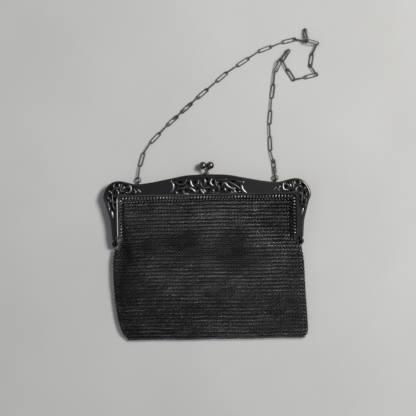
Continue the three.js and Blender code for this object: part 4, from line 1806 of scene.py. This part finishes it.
@dataclass
class Chain:
    """The chain handle of oblong links, with its two jump rings.

    Attributes:
        wire: Diameter of the links' wire.
        link_width: Width over a link.
        pitch: Distance between joints.
        stretch: Slack in a stretch before it takes another link, as a share of the pitch.
        sink: How far a flat link lies below its neighbours' middle.
        hook_gap: Play between an end link and its jump ring.
        ring_wire: Diameter of the jump rings' wire.
        link_wear: How bright a link is rubbed at floor level.
        height_shade: How much darker a link is painted for each millimetre above the floor:
            painted shade that tones down the key light's reflection on raised links.
        ring_wear: How bright the jump rings are rubbed.
        route: The chain as it was laid down, from the left ring to the right one.
    """

    wire: float = 0.85
    link_width: float = 3.3
    pitch: float = 10.0
    stretch: float = 0.04
    sink: float = 0.5
    hook_gap: float = 0.5
    ring_wire: float = 0.75
    link_wear: float = 0.68
    height_shade: float = 0.06
    ring_wear: float = 0.25
    route: tuple[tuple[float, float, float], ...] = (
        (-51.4, 60.2, 1.7),
        (-48.4, 69.9, 1.7),
        (-42.6, 78.1, 1.7),
        (-28.5, 92.2, 1.7),
        (-6, 112, 1.7),
        (17.1, 131.1, 1.7),
        (42.4, 147.3, 1.7),
        (60.9, 154, 1.7),
        (70.2, 156.1, 1.7),
        (79.4, 154, 1.9),
        (78, 163.3, 2.2),
        (78.9, 154.6, 5.8),
        (87.6, 152.3, 3.6),
        (83.2, 144, 1.9),
        (81.8, 135.6, 1.7),
        (86.4, 128.6, 1.7),
        (78, 126.6, 1.7),
        (68.8, 124.9, 1.7),
        (64, 132.4, 1.7),
        (60.2, 140, 1.9),
        (64.8, 147, 3.2),
        (58.6, 139.9, 4.9),
        (54.4, 131.2, 2.4),
        (51.5, 111.1, 1.7),
        (49.4, 90.9, 1.7),
        (49.8, 70.7, 1.7),
        (52.2, 60.6, 1.7),
    )

    def end(self, ring: str) -> np.ndarray:
        """Find where the chain hangs in a jump ring.

        Args:
            ring: The jump ring's node.

        Returns:
            The point.
        """
        low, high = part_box(ring)
        middle = np.array((low + high) / 2) / MM
        reach = (high.y - low.y) / MM / 2 - self.ring_wire - self.hook_gap
        return middle + np.array([0, reach, 0])

    def joints(self) -> np.ndarray:
        """Find the points between the links.

        Returns:
            The points, one row each.
        """
        route = map(np.array, self.route)
        stops = [self.end("jump_ring_left"), *route, self.end("jump_ring_right")]
        lengths = [np.linalg.norm(b - a) for a, b in zip(stops, stops[1:])]
        counts = [math.ceil(length / self.pitch - self.stretch) for length in lengths]
        counts[counts.index(max(counts))] += (sum(counts) + 1) % 2
        points = [stops[0]]
        for start, end, count in zip(stops, stops[1:], counts):
            points += [start + (end - start) * k / count for k in range(1, count + 1)]
        return np.array(points)

    def link(self) -> bpy.types.Object:
        """Model one oblong link, lying flat along X.

        Returns:
            The link.
        """
        bend = (self.link_width - self.wire) / 2
        reach = self.pitch / 2 + self.wire / 2 - bend
        bpy.ops.mesh.primitive_torus_add(
            major_segments=24,
            minor_segments=10,
            major_radius=bend * MM,
            minor_radius=self.wire / 2 * MM,
        )
        link = bpy.context.object
        points = points_of(link)
        points[:, 0] += reach * np.sign(np.where(np.abs(points[:, 0]) < 1e-3, 0, points[:, 0]))
        set_points(link, points)
        return link

    def build(self) -> list[bpy.types.Object]:
        """Build and dress the chain and its rings.

        Returns:
            The chain, the left ring and the right ring.
        """
        joints = self.joints()
        pattern = self.link()
        links = []
        for place, (start, end) in enumerate(zip(joints, joints[1:])):
            along = Vector(end - start).normalized()
            flat = Vector((-along.y, along.x, 0)).normalized()
            edge = along.cross(flat)
            middle = Vector((start + end) / 2)
            is_flat = place % 2 == 1
            if is_flat:
                middle -= edge * self.sink
            wide, normal = (flat, edge) if is_flat else (edge, -flat)
            turn = Matrix((along, wide, normal)).transposed().to_4x4()
            copy = pattern.copy()
            copy.data = pattern.data.copy()
            bpy.context.scene.collection.objects.link(copy)
            copy.matrix_world = Matrix.Translation(middle * MM) @ turn
            links.append(settled(copy, ROUND_CREASE))
        bpy.data.objects.remove(pattern)
        chain = joined("chain_links", links)
        height = points_of(chain)[:, 2]
        # Painted shade: links higher above the floor are painted darker, against the key light's
        # reflection on them.
        mark_wear_and_shade(chain, self.link_wear - self.height_shade * height)
        made = [WIRE_METAL.dress(chain, "chain")]
        for node in ("jump_ring_left", "jump_ring_right"):
            low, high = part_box(node)
            bpy.ops.mesh.primitive_torus_add(
                major_segments=40,
                minor_segments=12,
                major_radius=(high.y - low.y - self.ring_wire * MM) / 2,
                minor_radius=self.ring_wire / 2 * MM,
                location=(low + high) / 2,
            )
            ring = settled(bpy.context.object, ROUND_CREASE)
            ring.name = f"{node}_wire"
            mark_wear_and_shade(ring, np.full(len(ring.data.vertices), self.ring_wear))
            made.append(WIRE_METAL.dress(ring, node))
        return made


@dataclass
class Studio:
    """The floor, the lights and the camera.

    Attributes:
        view_width: Width of floor that the picture takes in.
        view_centre: The picture's middle on the purse.
        camera_height: The camera's height.
        roll_degrees: How far the camera is rolled.
        sensor: Width of the camera's sensor.
        purse_height: Height of the level that the view width is measured at.
    """

    view_width: float = 320.6
    view_centre: Point = (0.5, 26.6)
    camera_height: float = 1500.0
    roll_degrees: float = -1.0
    sensor: float = 36.0
    purse_height: float = 8.0

    def floor(self) -> bpy.types.Object:
        """Lay the plain pale floor.

        Returns:
            The floor.
        """
        bpy.ops.mesh.primitive_plane_add(size=6)
        floor = bpy.context.object
        floor.name = "floor"
        sheet = NodeSheet("pale_floor")
        place = sheet.add("ShaderNodeTexCoord").outputs["Object"]
        tone = sheet.noise(place, 9, 5)
        ramp = sheet.ramp(tone, [(0.3, (0.53, 0.525, 0.51)), (0.7, (0.58, 0.575, 0.56))])
        sheet.link(ramp, sheet.shader.inputs["Base Color"])
        sheet.shader.inputs["Roughness"].default_value = 0.85
        floor.data.materials.append(sheet.material)
        return floor

    def light(self, name: str, place: Colour, power: float, size: float, tint: Colour) -> None:
        """Hang a square soft light that faces the purse.

        Args:
            name: The light's name.
            place: Where it hangs, in metres.
            power: Its power in watts.
            size: Its width in metres.
            tint: Its colour.
        """
        lamp = bpy.data.lights.new(name, "AREA")
        lamp.energy = power
        lamp.size = size
        lamp.color = tint
        lamp_object = bpy.data.objects.new(name, lamp)
        bpy.context.scene.collection.objects.link(lamp_object)
        lamp_object.location = place
        aim = Vector((0, 0.02, 0)) - Vector(place)
        lamp_object.rotation_euler = aim.to_track_quat("-Z", "Y").to_euler()

    def build(self) -> None:
        """Set up the whole studio."""
        self.floor()
        self.light("key", (0.7, 0.4, 1.1), 17, 0.4, (1.0, 0.985, 0.96))
        self.light("fill", (-0.9, -0.5, 1.1), 2, 1.2, (0.9, 0.95, 1.0))
        world = bpy.data.worlds.new("studio")
        bpy.context.scene.world = world
        world.use_nodes = True
        background = world.node_tree.nodes["Background"]
        background.inputs["Color"].default_value = (0.8, 0.86, 0.95, 1.0)
        background.inputs["Strength"].default_value = 0.2
        camera = bpy.data.cameras.new("camera")
        camera.sensor_width = self.sensor
        distance = self.camera_height - self.purse_height
        camera.lens = self.sensor * distance / self.view_width
        camera.clip_end = 20
        camera_object = bpy.data.objects.new("camera", camera)
        bpy.context.scene.collection.objects.link(camera_object)
        x, y = self.view_centre
        camera_object.location = (x * MM, y * MM, self.camera_height * MM)
        camera_object.rotation_euler = (0, 0, math.radians(self.roll_degrees))
        bpy.context.scene.camera = camera_object
        bpy.context.scene.view_settings.view_transform = "Standard"


def main() -> None:
    """Build the purse piece by piece, then its studio."""
    logging.basicConfig(level=logging.INFO, format="%(name)s: %(message)s")
    Studio().build()
    makers = (
        FrameHalf(Side.FRONT),
        FrameHalf(Side.BACK),
        Hinge(),
        Clasp(),
        Lacing(Side.FRONT),
        Lacing(Side.BACK),
        RingMail(),
        Chain(),
    )
    for maker in makers:
        made = maker.build()
        for piece in made if isinstance(made, list) else [made]:
            piece.data.calc_loop_triangles()
            log.info("%s: %d triangles", piece.name, len(piece.data.loop_triangles))
    deselect_all()


if __name__ == "__main__":
    main()
